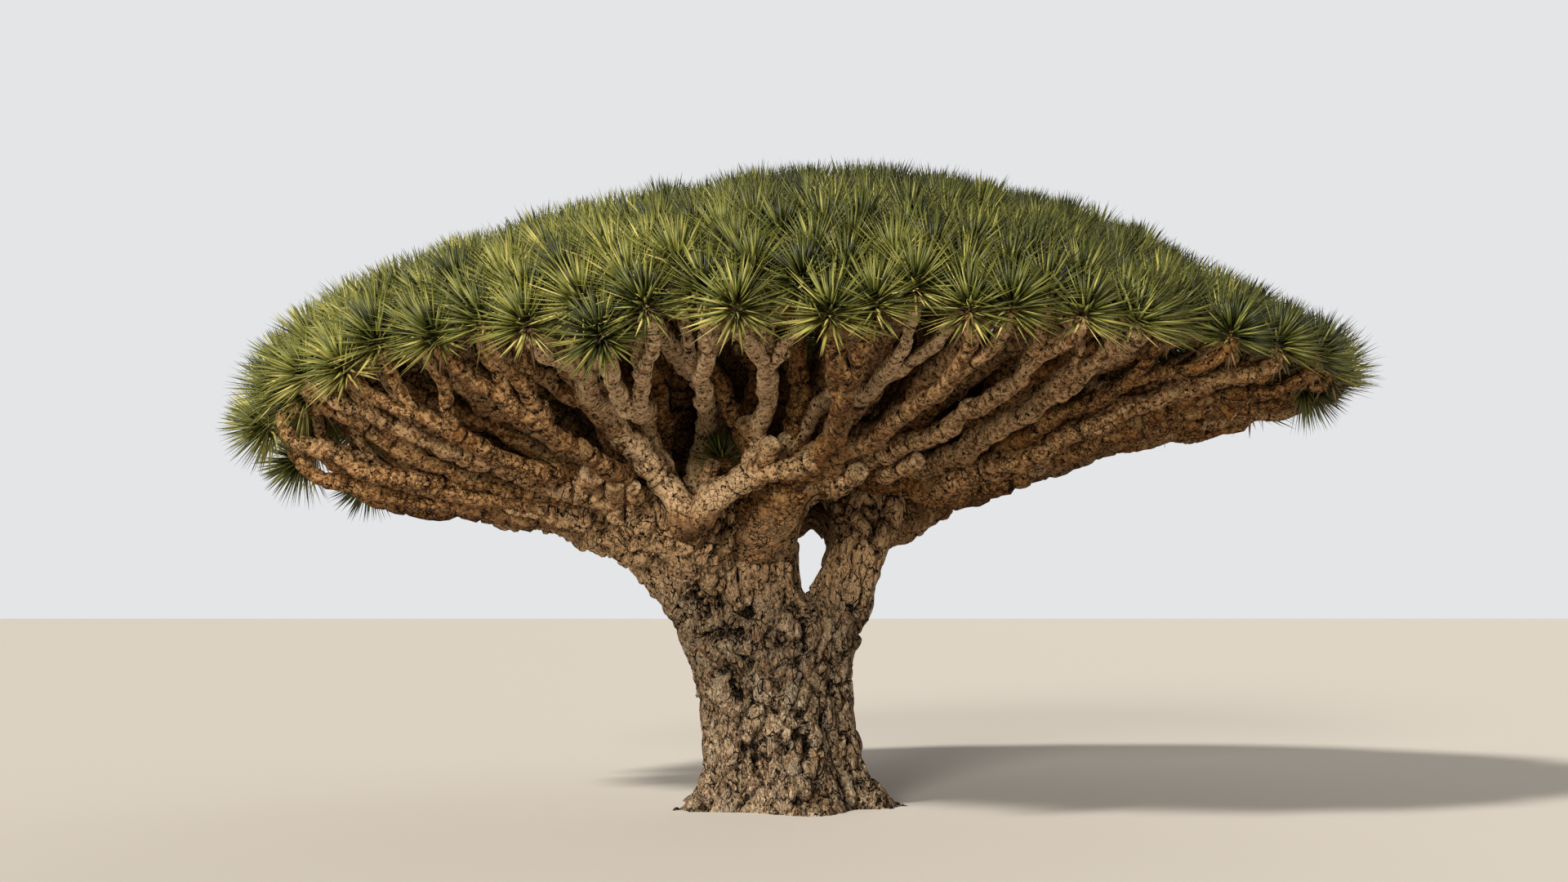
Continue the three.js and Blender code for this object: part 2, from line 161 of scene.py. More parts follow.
@dataclass(frozen=True)
class Crown:
    """The crown's outline to the leaf tips, by share of the reach, bearing and depth."""

    axis_x: float = 0.110
    reach_x: float = 4.540
    reach_y: float = 4.420
    rim_height: float = 3.200
    rim_tilt: float = 0.250
    high_side: float = math.radians(-35)
    dome_height: float = 1.730
    dome_power: float = 0.6
    lobes: tuple = ((3, 0.018, 0.6), (5, 0.014, 2.1), (8, 0.008, 4.4))
    hub_underside: float = 1.900
    underside_rise: float = 0.24
    underside_tilt: float = 0.400
    low_left: float = 0.095
    low_right: float = 1.15
    low_power: float = 4.3
    left_sag: float = 0.17
    sag_out: float = 3.100
    sag_width: float = 0.800
    right_lift: float = 0.10
    lift_out: float = 3.000
    lift_width: float = 0.900

    def reach(self, bearing: Any) -> Any:
        """How far the leaf tips reach from the axis: an oval with lobes."""
        oval = 1 / np.hypot(np.cos(bearing) / self.reach_x, np.sin(bearing) / self.reach_y)
        return oval * (1 + sum(size * np.sin(count * bearing + phase) for count, size, phase in self.lobes))

    def outward(self, bearing: Any, out: Any, height: Any) -> Array:
        """Places at a distance from the axis, at a bearing and a height."""
        x = self.axis_x + out * np.cos(bearing)
        return np.stack(np.broadcast_arrays(x, out * np.sin(bearing), height), axis=-1)

    def tilt(self, share: Any, bearing: Any) -> Any:
        """How much higher the rim's level is at a share of the reach."""
        return self.rim_tilt * share * np.cos(bearing - self.high_side)

    def point(self, share: Any, bearing: Any, depth: float) -> Array:
        """Places at a depth under the leaf tips.

        Args:
            share: how far out they are, as a share of the reach.
            bearing: their angle round the axis.
            depth: how far inside the tips' outline, in metres.

        Returns:
            The places in metres.
        """
        rise = (self.dome_height - depth) * np.maximum(1 - np.square(share), 0) ** self.dome_power
        left, right = np.maximum(-np.cos(bearing), 0), np.maximum(np.cos(bearing), 0)
        fall = self.low_left * np.sin(math.pi * share) * left + self.low_right * share**self.low_power * right
        height = self.rim_height + self.tilt(share, bearing) + rise * (1 - fall)
        return self.outward(bearing, share * (self.reach(bearing) - depth), height)

    def normal(self, slope: Any, bearing: Any) -> Array:
        """Ways out of the crown.

        Args:
            slope: its sine is the share of the reach.
            bearing: the angle round the axis.

        Returns:
            Vectors with a length of 1.
        """
        step = 0.01
        along = self.point(np.sin(slope + step), bearing, 0) - self.point(np.sin(slope - step), bearing, 0)
        around = self.point(np.sin(slope), bearing + step, 0) - self.point(np.sin(slope), bearing - step, 0)
        return unit(np.cross(along, around))

    def underside(self, out: Any, bearing: Any) -> Any:
        """The height of the lowest limbs.

        Args:
            out: the distance from the axis.
            bearing: the angle round the axis.

        Returns:
            The height in metres.
        """
        tilt = self.underside_tilt * out * np.cos(bearing - self.high_side) / self.reach_x
        sag = self.left_sag * np.exp(-np.square((out - self.sag_out) / self.sag_width))
        lift = self.right_lift * np.exp(-np.square((out - self.lift_out) / self.lift_width))
        change = lift * np.maximum(np.cos(bearing), 0) ** 2 - sag * np.maximum(-np.cos(bearing), 0) ** 2
        return self.hub_underside + self.underside_rise * out + tilt + change


@dataclass(frozen=True)
class Ring:
    """One of the crown's rings of foliage."""

    name: str
    shares: Span
    masses: int
    pieces: int
    leaves: int
    lean: float
    rise: float
    tone: float

    def sectors(self) -> list[range]:
        """Its masses in equal sectors, one for each piece."""
        size = self.masses // self.pieces
        return [range(start, start + size) for start in range(0, self.masses, size)]

    def nodes(self, kind: str, masses: range) -> list[str]:
        """The node names of some of its masses or limbs."""
        return [f"{kind}_{self.name}_{mass + 1:02d}" for mass in masses]


@dataclass(frozen=True)
class Rib:
    """A limb that carries part of a mass.

    It leaves its bough at a share of the bough's length, turned by some degrees from the mass's middle, and
    ends at a distance out and a height. It carries the rosettes nearest to its aim, a share of the reach.
    """

    leaves_at: float
    turn: float
    out: float
    height: float
    aim: float


@dataclass(frozen=True)
class Arm:
    """A limb that the front of the tree shows, by its own path: the mass that it feeds, and its aim there."""

    mass: int
    path: tuple
    radii: tuple
    turn: float
    aim: float
    pale: float = 0.90


RIM = Ring("rim", (0.66, 1.01), 12, 4, 175, math.radians(98), 0.85, 0.36)
SHOULDER = Ring("shoulder", (0.33, 0.66), 6, 2, 140, math.radians(62), 0.90, -0.16)
TOP = Ring("top", (0.0, 0.33), 3, 1, 120, math.radians(52), 0.60, -0.14)
RINGS = (RIM, SHOULDER, TOP)


@dataclass
class Rosettes:
    """Where the heads of leaves stand and which way they face."""

    crown: Crown
    count: int = 560
    depth: float = 0.400
    rim_slope: float = math.radians(87)
    steepest: float = math.radians(84)
    jitter: float = 0.06
    jitter_shares: tuple = (1, 1, 0.6)
    jitter_held: float = 0.6
    lean: float = 0.10
    upright_ends: Span = (0.95, 0.45)
    hanging: int = 12
    hanging_side: Span = (math.radians(130), math.radians(200))
    hanging_shares: Span = (0.93, 0.99)
    hanging_drop: Span = (0.08, 0.44)
    hanging_fall: float = 0.15
    hanging_lean: float = 0.25
    random: Chance = field(default_factory=lambda: np.random.default_rng(SEED))
    low_heads: tuple = (
        ((-3.960, -0.620, 3.000), (-0.85, -0.12, 0.32)),
        ((-3.950, -0.840, 2.930), (-0.70, -0.50, 0.15)),
        ((-3.900, 0.700, 2.840), (-0.85, 0.10, 0.22)),
        ((-3.500, 1.050, 2.600), (-0.60, 0.20, -0.50)),
        ((4.080, -0.480, 3.270), (0.85, -0.30, -0.12)),
        ((4.180, -0.120, 3.290), (0.90, -0.12, 0.05)),
    )
    feet: Array = field(init=False)
    axes: Array = field(init=False)
    rings: Array = field(init=False)
    masses: Array = field(init=False)

    def __post_init__(self) -> None:
        """Places every rosette and sorts them by ring and mass."""
        slope = self.even_slopes()
        bearing = (np.arange(self.count) * GOLDEN_ANGLE) % TURN
        feet = self.crown.point(np.sin(slope), bearing, self.depth)
        normals = self.crown.normal(np.minimum(slope, self.steepest), bearing)
        steps = self.random.normal(0, self.jitter, feet.shape) * self.jitter_shares
        outward = normals * np.sum(steps * normals, axis=-1, keepdims=True)
        self.feet = feet + steps - outward * self.jitter_held
        self.rings = np.select([np.sin(slope) > ring.shares[0] for ring in RINGS], [0, 1, 2])
        upright = mix(*self.upright_ends, (1 + np.cos(bearing)) / 2)
        ends = np.where(self.rings == 0, mix(upright, 1.0, np.abs(np.sin(bearing))), 1.0)
        rises = np.array([ring.rise for ring in RINGS])[self.rings] * ends
        lean = self.random.normal(0, self.lean, feet.shape)
        self.axes = unit(unit(normals) + rises[:, None] * UP + lean)
        counts = np.array([ring.masses for ring in RINGS])[self.rings]
        self.masses = np.floor(bearing / TURN * counts).astype(int)
        self.hang()

    def even_slopes(self) -> Array:
        """Slopes that share the dome's area out evenly among the rosettes."""
        slopes = np.linspace(0, self.rim_slope, 400)
        height, power = self.crown.dome_height - self.depth, 2 * self.crown.dome_power
        rise = power * height * np.cos(slopes) ** (power - 1) * np.sin(slopes)
        reach = self.crown.reach_x - self.depth
        band = np.sin(slopes) * np.hypot(reach * np.cos(slopes), rise) * reach
        area = np.concatenate([[0], np.cumsum((band[1:] + band[:-1]) / 2)])
        shares = (np.arange(self.count) + 0.5) / self.count
        return np.interp(shares, area / area[-1], slopes)

    def hang(self) -> None:
        """Adds the rosettes that hang under the rim on the left, and the low ones at both ends."""
        bearing = self.random.uniform(*self.hanging_side, self.hanging)
        share = self.random.uniform(*self.hanging_shares, self.hanging)
        drop = self.random.uniform(*self.hanging_drop, self.hanging)[:, None]
        feet = self.crown.point(share, bearing, self.depth) - UP * drop
        outward = self.crown.outward(bearing, 1.0, 0.0) - self.crown.outward(bearing, 0.0, 0.0)
        lean = self.random.normal(0, self.hanging_lean, feet.shape)
        axes = unit(outward - UP * self.hanging_fall + lean)
        low_feet, low_axes = (np.array([head[part] for head in self.low_heads]) for part in (0, 1))
        low_bearing = np.arctan2(low_feet[:, 1], low_feet[:, 0] - self.crown.axis_x) % TURN
        bearing = np.append(bearing, low_bearing)
        self.feet = np.vstack([self.feet, feet, low_feet])
        self.axes = np.vstack([self.axes, axes, unit(low_axes)])
        self.rings = np.append(self.rings, np.zeros(len(bearing), int))
        self.masses = np.append(self.masses, np.floor(bearing / TURN * RIM.masses).astype(int))

    def of(self, ring: int, mass: int) -> Array:
        """The numbers of the rosettes in one mass."""
        return np.flatnonzero((self.rings == ring) & (self.masses == mass))


# Meshes from arrays

def configure(thing: Any, settings: Optional[dict]) -> None:
    """Sets some of a thing's own settings by name."""
    for name, value in (settings or {}).items():
        setattr(thing, name, value)


def keep_mark(mesh: bpy.types.Mesh, name: str, values: Array) -> None:
    """Keeps a number for each point of a mesh under a name."""
    attribute = mesh.attributes.new(name, "FLOAT", "POINT")
    attribute.data.foreach_set("value", values.astype(np.float32))


def clothe(mesh: bpy.types.Mesh, materials: list) -> None:
    """Gives a mesh its materials."""
    for material in materials:
        mesh.materials.append(material)


def tube(count: int, around: int) -> list[Array]:
    """The faces of a closed tube whose two middle points come after those of its rings.

    Args:
        count: how many rings it has.
        around: how many points there are in a ring.

    Returns:
        The faces of its walls, its foot and its head.
    """
    grid = np.arange(count * around).reshape(count, around)
    ahead = np.roll(grid, -1, axis=1)
    walls = np.stack([grid[:-1], ahead[:-1], ahead[1:], grid[1:]], axis=-1).reshape(-1, 4)
    foot = np.stack([ahead[0], grid[0], np.full(around, count * around)], axis=-1)
    head = np.stack([grid[-1], ahead[-1], np.full(around, count * around + 1)], axis=-1)
    return [walls, foot, head]


@dataclass
class Heap:
    """Mesh data of many small things that become one piece."""

    points: list = field(default_factory=list)
    faces: list = field(default_factory=list)
    tints: list = field(default_factory=list)
    marks: dict = field(default_factory=dict)
    total: int = 0

    def add(self, points: Array, faces: list, tints: list, marks: Optional[dict] = None) -> None:
        """Adds points, and faces that count from the first of them.

        Args:
            points: places in metres.
            faces: arrays of faces, each with one number of corners.
            tints: a material number for each face, or one for each array.
            marks: named numbers for each point.
        """
        for group, tint in zip(faces, tints):
            self.faces.append(group + self.total)
            self.tints.append(np.broadcast_to(tint, len(group)))
        self.points.append(points)
        for name, values in (marks or {}).items():
            self.marks.setdefault(name, []).append(values)
        self.total += len(points)

    def triangles(self) -> int:
        """How many triangles the heap holds."""
        return sum(len(group) * (group.shape[1] - 2) for group in self.faces)

    def piece(self, name: str, materials: list) -> Piece:
        """Makes one object of everything in the heap.

        Args:
            name: the piece's name.
            materials: the materials that the tints count.

        Returns:
            The object, at the origin.
        """
        mesh = bpy.data.meshes.new(name)
        points = np.vstack(self.points)
        sizes = np.concatenate([np.full(len(group), group.shape[1]) for group in self.faces])
        corners = np.concatenate([group.ravel() for group in self.faces])
        mesh.vertices.add(len(points))
        mesh.vertices.foreach_set("co", points.astype(np.float32).ravel())
        mesh.loops.add(len(corners))
        mesh.loops.foreach_set("vertex_index", corners.astype(np.int32))
        mesh.polygons.add(len(sizes))
        mesh.polygons.foreach_set("loop_start", (np.cumsum(sizes) - sizes).astype(np.int32))
        mesh.polygons.foreach_set("material_index", np.concatenate(self.tints).astype(np.int32))
        clothe(mesh, materials)
        for mark, values in self.marks.items():
            keep_mark(mesh, mark, np.concatenate(values))
        mesh.update(calc_edges=True)
        mesh.validate()
        made = bpy.data.objects.new(name, mesh)
        bpy.context.collection.objects.link(made)
        return made


class Tip(Enum):
    """How a limb ends."""

    ROUND = "round"
    CUT = "cut"

@dataclass(frozen=True)
class TipShape:
    """What follows a limb's last ring, by the limb's radius there.

    Each ring has its lift, its size and its share of cut face. The apex has its own lift and share. The last
    number is painted shade on the end: a round end is darkened as the shaded heart of its rosette.
    """

    rings: tuple
    apex_lift: float
    apex_cut: float
    crease: float


TIP_SHAPES = {
    Tip.ROUND: TipShape(((0.35, 0.85, 0), (0.65, 0.5, 0)), 0.75, 0.0, 1.0),
    Tip.CUT: TipShape(
        ((0.05, 1.10, 0), (0.26, 1.06, 0.2), (0.40, 0.86, 1), (0.40, 0.60, 1), (0.24, 0.30, 0.4)),
        0.12, 0.2, 0.0),
}


@dataclass
class Limb:
    """One tapering limb or twig."""

    path: list
    radii: list
    tip: Tip = Tip.ROUND
    sides: int = 7
    pale: float = 0.0


@dataclass(frozen=True)
class Bark:
    """The swollen rings and lumps of a dragon tree's limbs.

    A limb of the spacing radius has its rings as far apart as given, and a thinner one has them closer.
    Each ring has four stations: the pinch that narrows it, and three places of its swelling. The pinch also
    gets painted shade, as strong as the ring. On a limb thicker than the full radius the rings are shallower
    for its size.
    """

    spacing: Span = (0.060, 0.220)
    pinch: float = 0.23
    swell: float = 0.16
    lump: float = 0.28
    drift: float = 0.040
    drift_size: float = 0.22
    spacing_radius: float = 0.05
    spacing_power: float = 0.35
    strengths: Span = (0.15, 1.0)
    full_radius: float = 0.09
    stations: tuple = (0.0, 0.16, 0.5, 0.84)
    swells: tuple = (0.3, 1.0, 0.5)
    lump_sizes: Span = (0.11, 0.05)

    def rings(self, limb: Limb, random: Chance) -> tuple[Array, Array, Array]:
        """Centres, radii and the painted shade in the pinches of a limb's rings.

        Args:
            limb: the limb to ring.
            random: the source of chance.

        Returns:
            The centre, the radius and the painted shade from 0 to 1 of each ring.
        """
        curve, radii = curve_through(np.array(limb.path), np.array(limb.radii))
        curve = wander(curve, self.drift_size, self.drift, SEED)
        curve = wander(curve, self.drift_size / 3, self.drift / 4, SEED + 7)
        run = np.concatenate([[0], np.cumsum(np.linalg.norm(np.diff(curve, axis=0), axis=1))])
        knots = [0.0]
        while knots[-1] < run[-1]:
            thick = np.interp(knots[-1], run, radii)
            step = random.uniform(*self.spacing) * (thick / self.spacing_radius) ** self.spacing_power
            knots.append(knots[-1] + step)
        knots[-1] = run[-1]
        starts = np.array(knots[:-1])
        places = (starts[:, None] + np.diff(knots)[:, None] * np.array(self.stations)).ravel()
        places = np.append(places, run[-1])
        strength = random.uniform(*self.strengths, len(starts))[:, None]
        bulge = (strength * np.array((-self.pinch, *(self.swell * share for share in self.swells)))).ravel()
        # Painted shade: each ring's pinch is darkened as much as the ring is strong.
        crease = (strength * np.array((1.0, 0.0, 0.0, 0.0))).ravel()
        centres = np.stack([np.interp(places, run, curve[:, axis]) for axis in range(3)], axis=-1)
        thickness = np.interp(places, run, radii)
        softer = np.minimum(1, (self.full_radius / thickness) ** 0.5)
        return centres, thickness * (1 + np.append(bulge, 0) * softer), np.append(crease, 0)

    def sides(self, ways: Array) -> Array:
        """Directions square to a limb, which turn as little as they can.

        Args:
            ways: the way along the limb at each of its rings.

        Returns:
            One direction for each ring.
        """
        side = across(ways[0])
        found = []
        for way in ways:
            side = unit(side - way * np.dot(side, way))
            found.append(side)
        return np.array(found)

    def add(self, limb: Limb, heap: Heap, random: Chance) -> None:
        """Adds one limb's closed mesh to a heap.

        Args:
            limb: the limb to add.
            heap: the heap that it joins.
            random: the source of chance.
        """
        centres, radii, crease = self.rings(limb, random)
        shape = TIP_SHAPES[limb.tip]
        extra = len(shape.rings)
        ways = unit(np.gradient(centres, axis=0))
        side = self.sides(ways)
        last, way, thick = centres[-1], ways[-1], radii[-1]
        cut = np.concatenate([np.zeros(len(side)), [mark for _, _, mark in shape.rings]])
        centres = np.vstack([centres] + [last + way * thick * lift for lift, _, _ in shape.rings])
        radii = np.concatenate([radii, [thick * size for _, size, _ in shape.rings]])
        crease = np.concatenate([crease, np.full(extra, shape.crease)])
        side = np.vstack([side] + [side[-1:]] * extra)
        lift = np.cross(np.vstack([ways] + [ways[-1:]] * extra), side)
        angles = np.arange(limb.sides) * TURN / limb.sides
        radial = np.cos(angles)[None, :, None] * side[:, None] + np.sin(angles)[None, :, None] * lift[:, None]
        surface = centres[:, None] + radii[:, None, None] * radial
        broad, fine = self.lump_sizes
        lumps = ripple(surface, broad, SEED + 11) + 0.5 * ripple(surface, fine, SEED + 12)
        surface = surface + radial * (radii[:, None] * self.lump * lumps * (1 - cut[:, None]))[..., None]
        apex = last + way * thick * shape.apex_lift
        points = np.vstack([surface.reshape(-1, 3), centres[:1], apex[None]])
        marks = {
            # Painted shade in the rings' pinches and on round ends.
            "crease": np.concatenate([np.repeat(crease, limb.sides), [0, shape.crease]]),
            "cut": np.concatenate([np.repeat(cut, limb.sides), [0, shape.apex_cut]]),
            "pale": np.full(len(points), limb.pale),
            # Painted shade: how far each point faces down, to darken the limbs' undersides.
            "under": np.append(np.clip(-radial[..., 2], 0, 1).ravel(), [0, 0]),
        }
        heap.add(points, tube(len(centres), limb.sides), [0, 0, 0], marks)


@dataclass(frozen=True)
class Knob:
    """A broken stub of its own: the mass that it belongs to, its path and its radius."""

    mass: int
    start: tuple
    end: tuple
    radius: float
    sides: int = 11
    pale: float = 0.6

    def limb(self) -> Limb:
        """The stub as a limb with a cut end."""
        start, end = np.array(self.start), np.array(self.end)
        radii = [self.radius * 1.25, self.radius, self.radius * 1.06]
        return Limb([start, mix(start, end, 0.55), end], radii, Tip.CUT, self.sides, self.pale)


@dataclass(frozen=True)
class Stubs:
    """Short broken side branches with cut ends: some grown by chance, some listed one by one."""

    share: float = 0.20
    places: Span = (0.2, 0.8)
    lean: float = 0.8
    fall: float = 0.2
    widths: Span = (0.62, 0.85)
    lengths: Span = (0.03, 0.13)
    sides: int = 9
    knobs: tuple = (
        Knob(9, (-0.22, -1.63, 2.54), (-0.08, -1.92, 2.68), 0.064),
        Knob(9, (-0.26, -1.60, 2.48), (0.22, -1.92, 2.59), 0.072),
        Knob(9, (-0.14, -1.58, 2.62), (-0.27, -1.78, 2.89), 0.058),
        Knob(9, (0.36, -1.40, 2.42), (0.52, -1.84, 2.53), 0.068),
        Knob(9, (0.74, -1.45, 2.50), (0.92, -1.84, 2.60), 0.060),
        Knob(8, (-0.35, 0.05, 2.40), (-0.62, 0.10, 2.95), 0.100),
        Knob(8, (-0.66, -1.15, 2.28), (-0.50, -1.42, 2.60), 0.055),
        Knob(7, (-1.50, -1.30, 2.40), (-1.37, -1.72, 2.49), 0.082),
        Knob(7, (-1.28, -1.25, 2.33), (-1.21, -1.62, 2.42), 0.062),
        Knob(7, (-1.10, -1.20, 2.30), (-1.06, -1.54, 2.39), 0.056),
        Knob(10, (1.40, -1.00, 2.74), (1.48, -1.32, 2.88), 0.070),
        Knob(10, (1.84, -1.05, 2.62), (1.92, -1.34, 2.73), 0.075),
    )

    def on(self, grown: list, ring: int, mass: int) -> list:
        """The stubs on one mass's limbs.

        Args:
            grown: the mass's limbs and twigs.
            ring: the number of the ring of foliage.
            mass: the number of the mass in its ring.

        Returns:
            The stubs as limbs.
        """
        random = np.random.default_rng(SEED + 100 * ring + mass)
        made = []
        for limb in grown:
            if len(limb.path) < 4 or random.random() > self.share:
                continue
            place = random.integers(1, len(limb.path) - 2)
            start, ahead = np.array(limb.path[place]), np.array(limb.path[place + 1])
            start = mix(start, ahead, random.uniform(*self.places))
            way = unit(unit(ahead - start) + random.normal(0, self.lean, 3) - UP * self.fall)
            thick = limb.radii[place] * random.uniform(*self.widths)
            reach = limb.radii[place] + random.uniform(*self.lengths)
            path = [start, start + way * reach * 0.6, start + way * reach]
            made.append(Limb(path, [thick * 1.1, thick, thick * 1.05], Tip.CUT, self.sides))
        if ring == 0:
            made += [knob.limb() for knob in self.knobs if knob.mass == mass]
        return made


# The skeleton of boughs, limbs and twigs

@dataclass
class Skeleton:
    """Boughs that leave the trunk, limbs that leave the boughs, and the twigs that fork to every rosette."""

    crown: Crown
    rosettes: Rosettes
    hub: tuple = (-0.450, 0.0, 1.930)
    stem_hub: tuple = (0.680, 0.190, 2.300)
    fork_out: float = 1.330
    bough_radii: Span = (0.290, 0.200)
    arches: tuple = (-0.040, -0.040, -0.040, -0.040, 0.020, 0.430)
    leader: tuple = ((-0.430, 0.0, 2.000), (-0.300, 0.020, 2.420), (-0.060, 0.010, 2.880))
    leader_radii: Span = (0.260, 0.190)
    tip_radius: float = 0.044
    thickening: float = 0.28
    fork_shares: tuple = ((16, 0.16), (8, 0.22), (4, 0.32), (2, 0.46))
    sag: tuple = (0.22, 0.08, 0.0)
    right_stiffness: float = 1.3
    last_length: float = 0.15
    neck: float = 0.075
    tip_swell: float = 1.08
    branch_neck: float = 0.9
    rib_steps: tuple = (0.35, 0.68, 1.0)
    rib_settling: float = 0.8
    rib_turning: float = 1.3
    rib_bow: float = 0.06
    rib_extra: float = 0.004
    rib_taper: float = 1.5
    thick_limb: float = 0.066
    limb_sides: tuple = (7, 10)
    rim_ribs: tuple = (
        Rib(1.00, 0.0, 2.780, 0.115, 0.98),
        Rib(0.85, -9.0, 2.450, 0.130, 0.95),
        Rib(0.85, 9.0, 2.450, 0.130, 0.95),
        Rib(0.62, -5.0, 2.200, 0.380, 0.86),
        Rib(0.62, 6.0, 2.100, 0.460, 0.84),
        Rib(0.42, 0.0, 1.850, 0.760, 0.74),
    )
    shoulder_ribs: tuple = (
        Rib(1.00, 0.0, 1.740, 3.200, 0.60),
        Rib(0.80, -20.0, 1.600, 3.060, 0.60),
        Rib(0.80, 20.0, 1.600, 3.120, 0.60),
        Rib(0.55, -14.0, 1.200, 3.160, 0.44),
        Rib(0.50, 10.0, 1.150, 3.220, 0.42),
    )
    top_ribs: tuple = (
        Rib(1.00, 0.0, 0.430, 3.560, 0.14),
        Rib(0.85, 36.0, 0.620, 3.420, 0.25),
        Rib(0.80, -36.0, 0.640, 3.380, 0.25),
    )
    arms: tuple = (
        Arm(8, ((-0.58, -0.30, 1.84), (-0.70, -0.86, 2.04), (-0.70, -1.22, 2.21), (-0.92, -1.34, 2.50),
                (-1.09, -1.50, 2.72), (-1.24, -1.66, 2.90)),
            (0.160, 0.140, 0.118, 0.096, 0.088, 0.080), -9.0, 0.94),
        Arm(8, ((-0.70, -0.95, 2.12), (-0.66, -0.98, 2.45), (-0.60, -1.00, 2.78), (-0.57, -1.28, 3.00)),
            (0.085, 0.078, 0.074, 0.070), 4.0, 0.95),
        Arm(8, ((-0.30, -0.50, 2.25), (-0.46, -0.80, 2.85), (-0.60, -1.30, 3.20)),
            (0.100, 0.085, 0.075), 0.0, 0.78),
        Arm(8, ((-0.80, -1.14, 2.36), (-0.93, -1.20, 2.70), (-0.98, -1.50, 2.95)),
            (0.078, 0.070, 0.064), -3.0, 0.97),
        Arm(8, ((-0.24, -1.62, 2.52), (-0.20, -1.70, 2.80), (-0.12, -2.00, 3.02)),
            (0.070, 0.066, 0.062), 12.0, 0.95),
        Arm(9, ((-0.66, -0.90, 2.06), (-0.69, -1.24, 2.20), (-0.48, -1.44, 2.36), (-0.33, -1.58, 2.45),
                (-0.19, -1.64, 2.56), (-0.03, -1.56, 2.71), (0.15, -1.60, 2.82), (0.24, -1.68, 2.99)),
            (0.120, 0.112, 0.108, 0.102, 0.094, 0.080, 0.074, 0.066), 0.0, 0.95),
        Arm(6, ((-1.50, -0.42, 2.20), (-2.30, -0.58, 2.31), (-3.00, -0.66, 2.39), (-3.42, -0.66, 2.51),
                (-3.72, -0.64, 2.74)),
            (0.100, 0.088, 0.076, 0.066, 0.056), -12.0, 0.98, 0.25),
        Arm(6, ((-1.50, -0.30, 2.26), (-2.40, -0.36, 2.38), (-3.10, -0.40, 2.51), (-3.48, -0.42, 2.68)),
            (0.095, 0.082, 0.070, 0.060), -8.0, 0.98, 0.10),
        Arm(6, ((-1.80, -0.72, 2.34), (-2.70, -1.02, 2.48), (-3.32, -1.24, 2.68), (-3.68, -1.36, 2.96)),
            (0.088, 0.076, 0.064, 0.054), 4.0, 0.98, 0.35),
        Arm(5, ((-1.50, 0.34, 2.18), (-2.30, 0.48, 2.30), (-3.00, 0.58, 2.36), (-3.36, 0.62, 2.44),
                (-3.62, 0.66, 2.60)),
            (0.100, 0.084, 0.070, 0.060, 0.052), 4.0, 0.98, 0.10),
        Arm(10, ((1.15, -0.85, 2.46), (1.80, -1.40, 2.68), (2.50, -1.85, 2.98), (3.15, -2.00, 3.18),
                 (3.46, -1.98, 3.29)),
            (0.105, 0.094, 0.082, 0.070, 0.060), 14.0, 0.98, 0.40),
        Arm(11, ((1.10, -0.70, 2.42), (1.75, -1.08, 2.62), (2.57, -1.25, 2.94), (3.35, -1.30, 3.18),
                 (3.74, -1.16, 3.29)),
            (0.100, 0.090, 0.080, 0.070, 0.060), 0.0, 0.98, 0.45),
        Arm(11, ((1.10, -0.40, 2.38), (1.75, -0.62, 2.56), (2.43, -0.84, 2.84), (3.20, -0.80, 3.07),
                 (3.64, -0.72, 3.20)),
            (0.100, 0.088, 0.078, 0.068, 0.058), 4.5, 0.98, 0.20),
    )
    own_arms: tuple = (8,)
    rib_pale: tuple = ((0.0, 0.60), (0.0, 0.2), (0.0, 0.1))
    stubs: Stubs = Stubs()
    random: Chance = field(default_factory=lambda: np.random.default_rng(SEED + 17))
    limbs: dict = field(default_factory=dict)

    def boughs(self) -> list[tuple[Array, Array]]:
        """The paths and radii of the six boughs and the leader."""
        shapes = []
        for number, arch in enumerate(self.arches):
            bearing = math.radians(30 + 60 * number)
            start = np.array(self.stem_hub if number < 2 else self.hub)
            height = self.crown.underside(self.fork_out, bearing) + self.bough_radii[1]
            end = self.crown.outward(bearing, self.fork_out, height)
            middle = mix(start, end, 0.5) + arch * UP
            path = np.array((start, middle, end))
            shapes.append(curve_through(path, np.array(self.spread(self.bough_radii))))
        shapes.append(curve_through(np.array(self.leader), np.array(self.spread(self.leader_radii))))
        return shapes

    def spread(self, radii: Span) -> list[float]:
        """Three radii, evenly spaced between two."""
        return [radii[0], mix(*radii, 0.5), radii[1]]

    def thickness(self, count: int) -> float:
        """The radius of a twig that carries a number of rosettes."""
        return self.tip_radius * count**self.thickening

    def rim_path(self, rib: Rib, bearing: float, start: Array) -> list[Array]:
        """The path of a limb that keeps close over the underside to the rim.

        Args:
            rib: the limb's turn and ends.
            bearing: the middle of its mass, as an angle round the axis.
            start: where it leaves its bough.

        Returns:
            The places that it passes.
        """
        turned = bearing + math.radians(rib.turn)
        first_out = math.hypot(start[0] - self.crown.axis_x, start[1])
        first_rise = start[2] - self.crown.underside(first_out, bearing)
        path = [start]
        for share in self.rib_steps:
            out = mix(first_out, rib.out, share)
            rise = mix(first_rise, rib.height, share**self.rib_settling)
            turning = min(1.0, share * self.rib_turning)
            here = mix(math.atan2(start[1], start[0] - self.crown.axis_x), turned, turning)
            path.append(self.crown.outward(here, out, self.crown.underside(out, here) + rise))
        return path

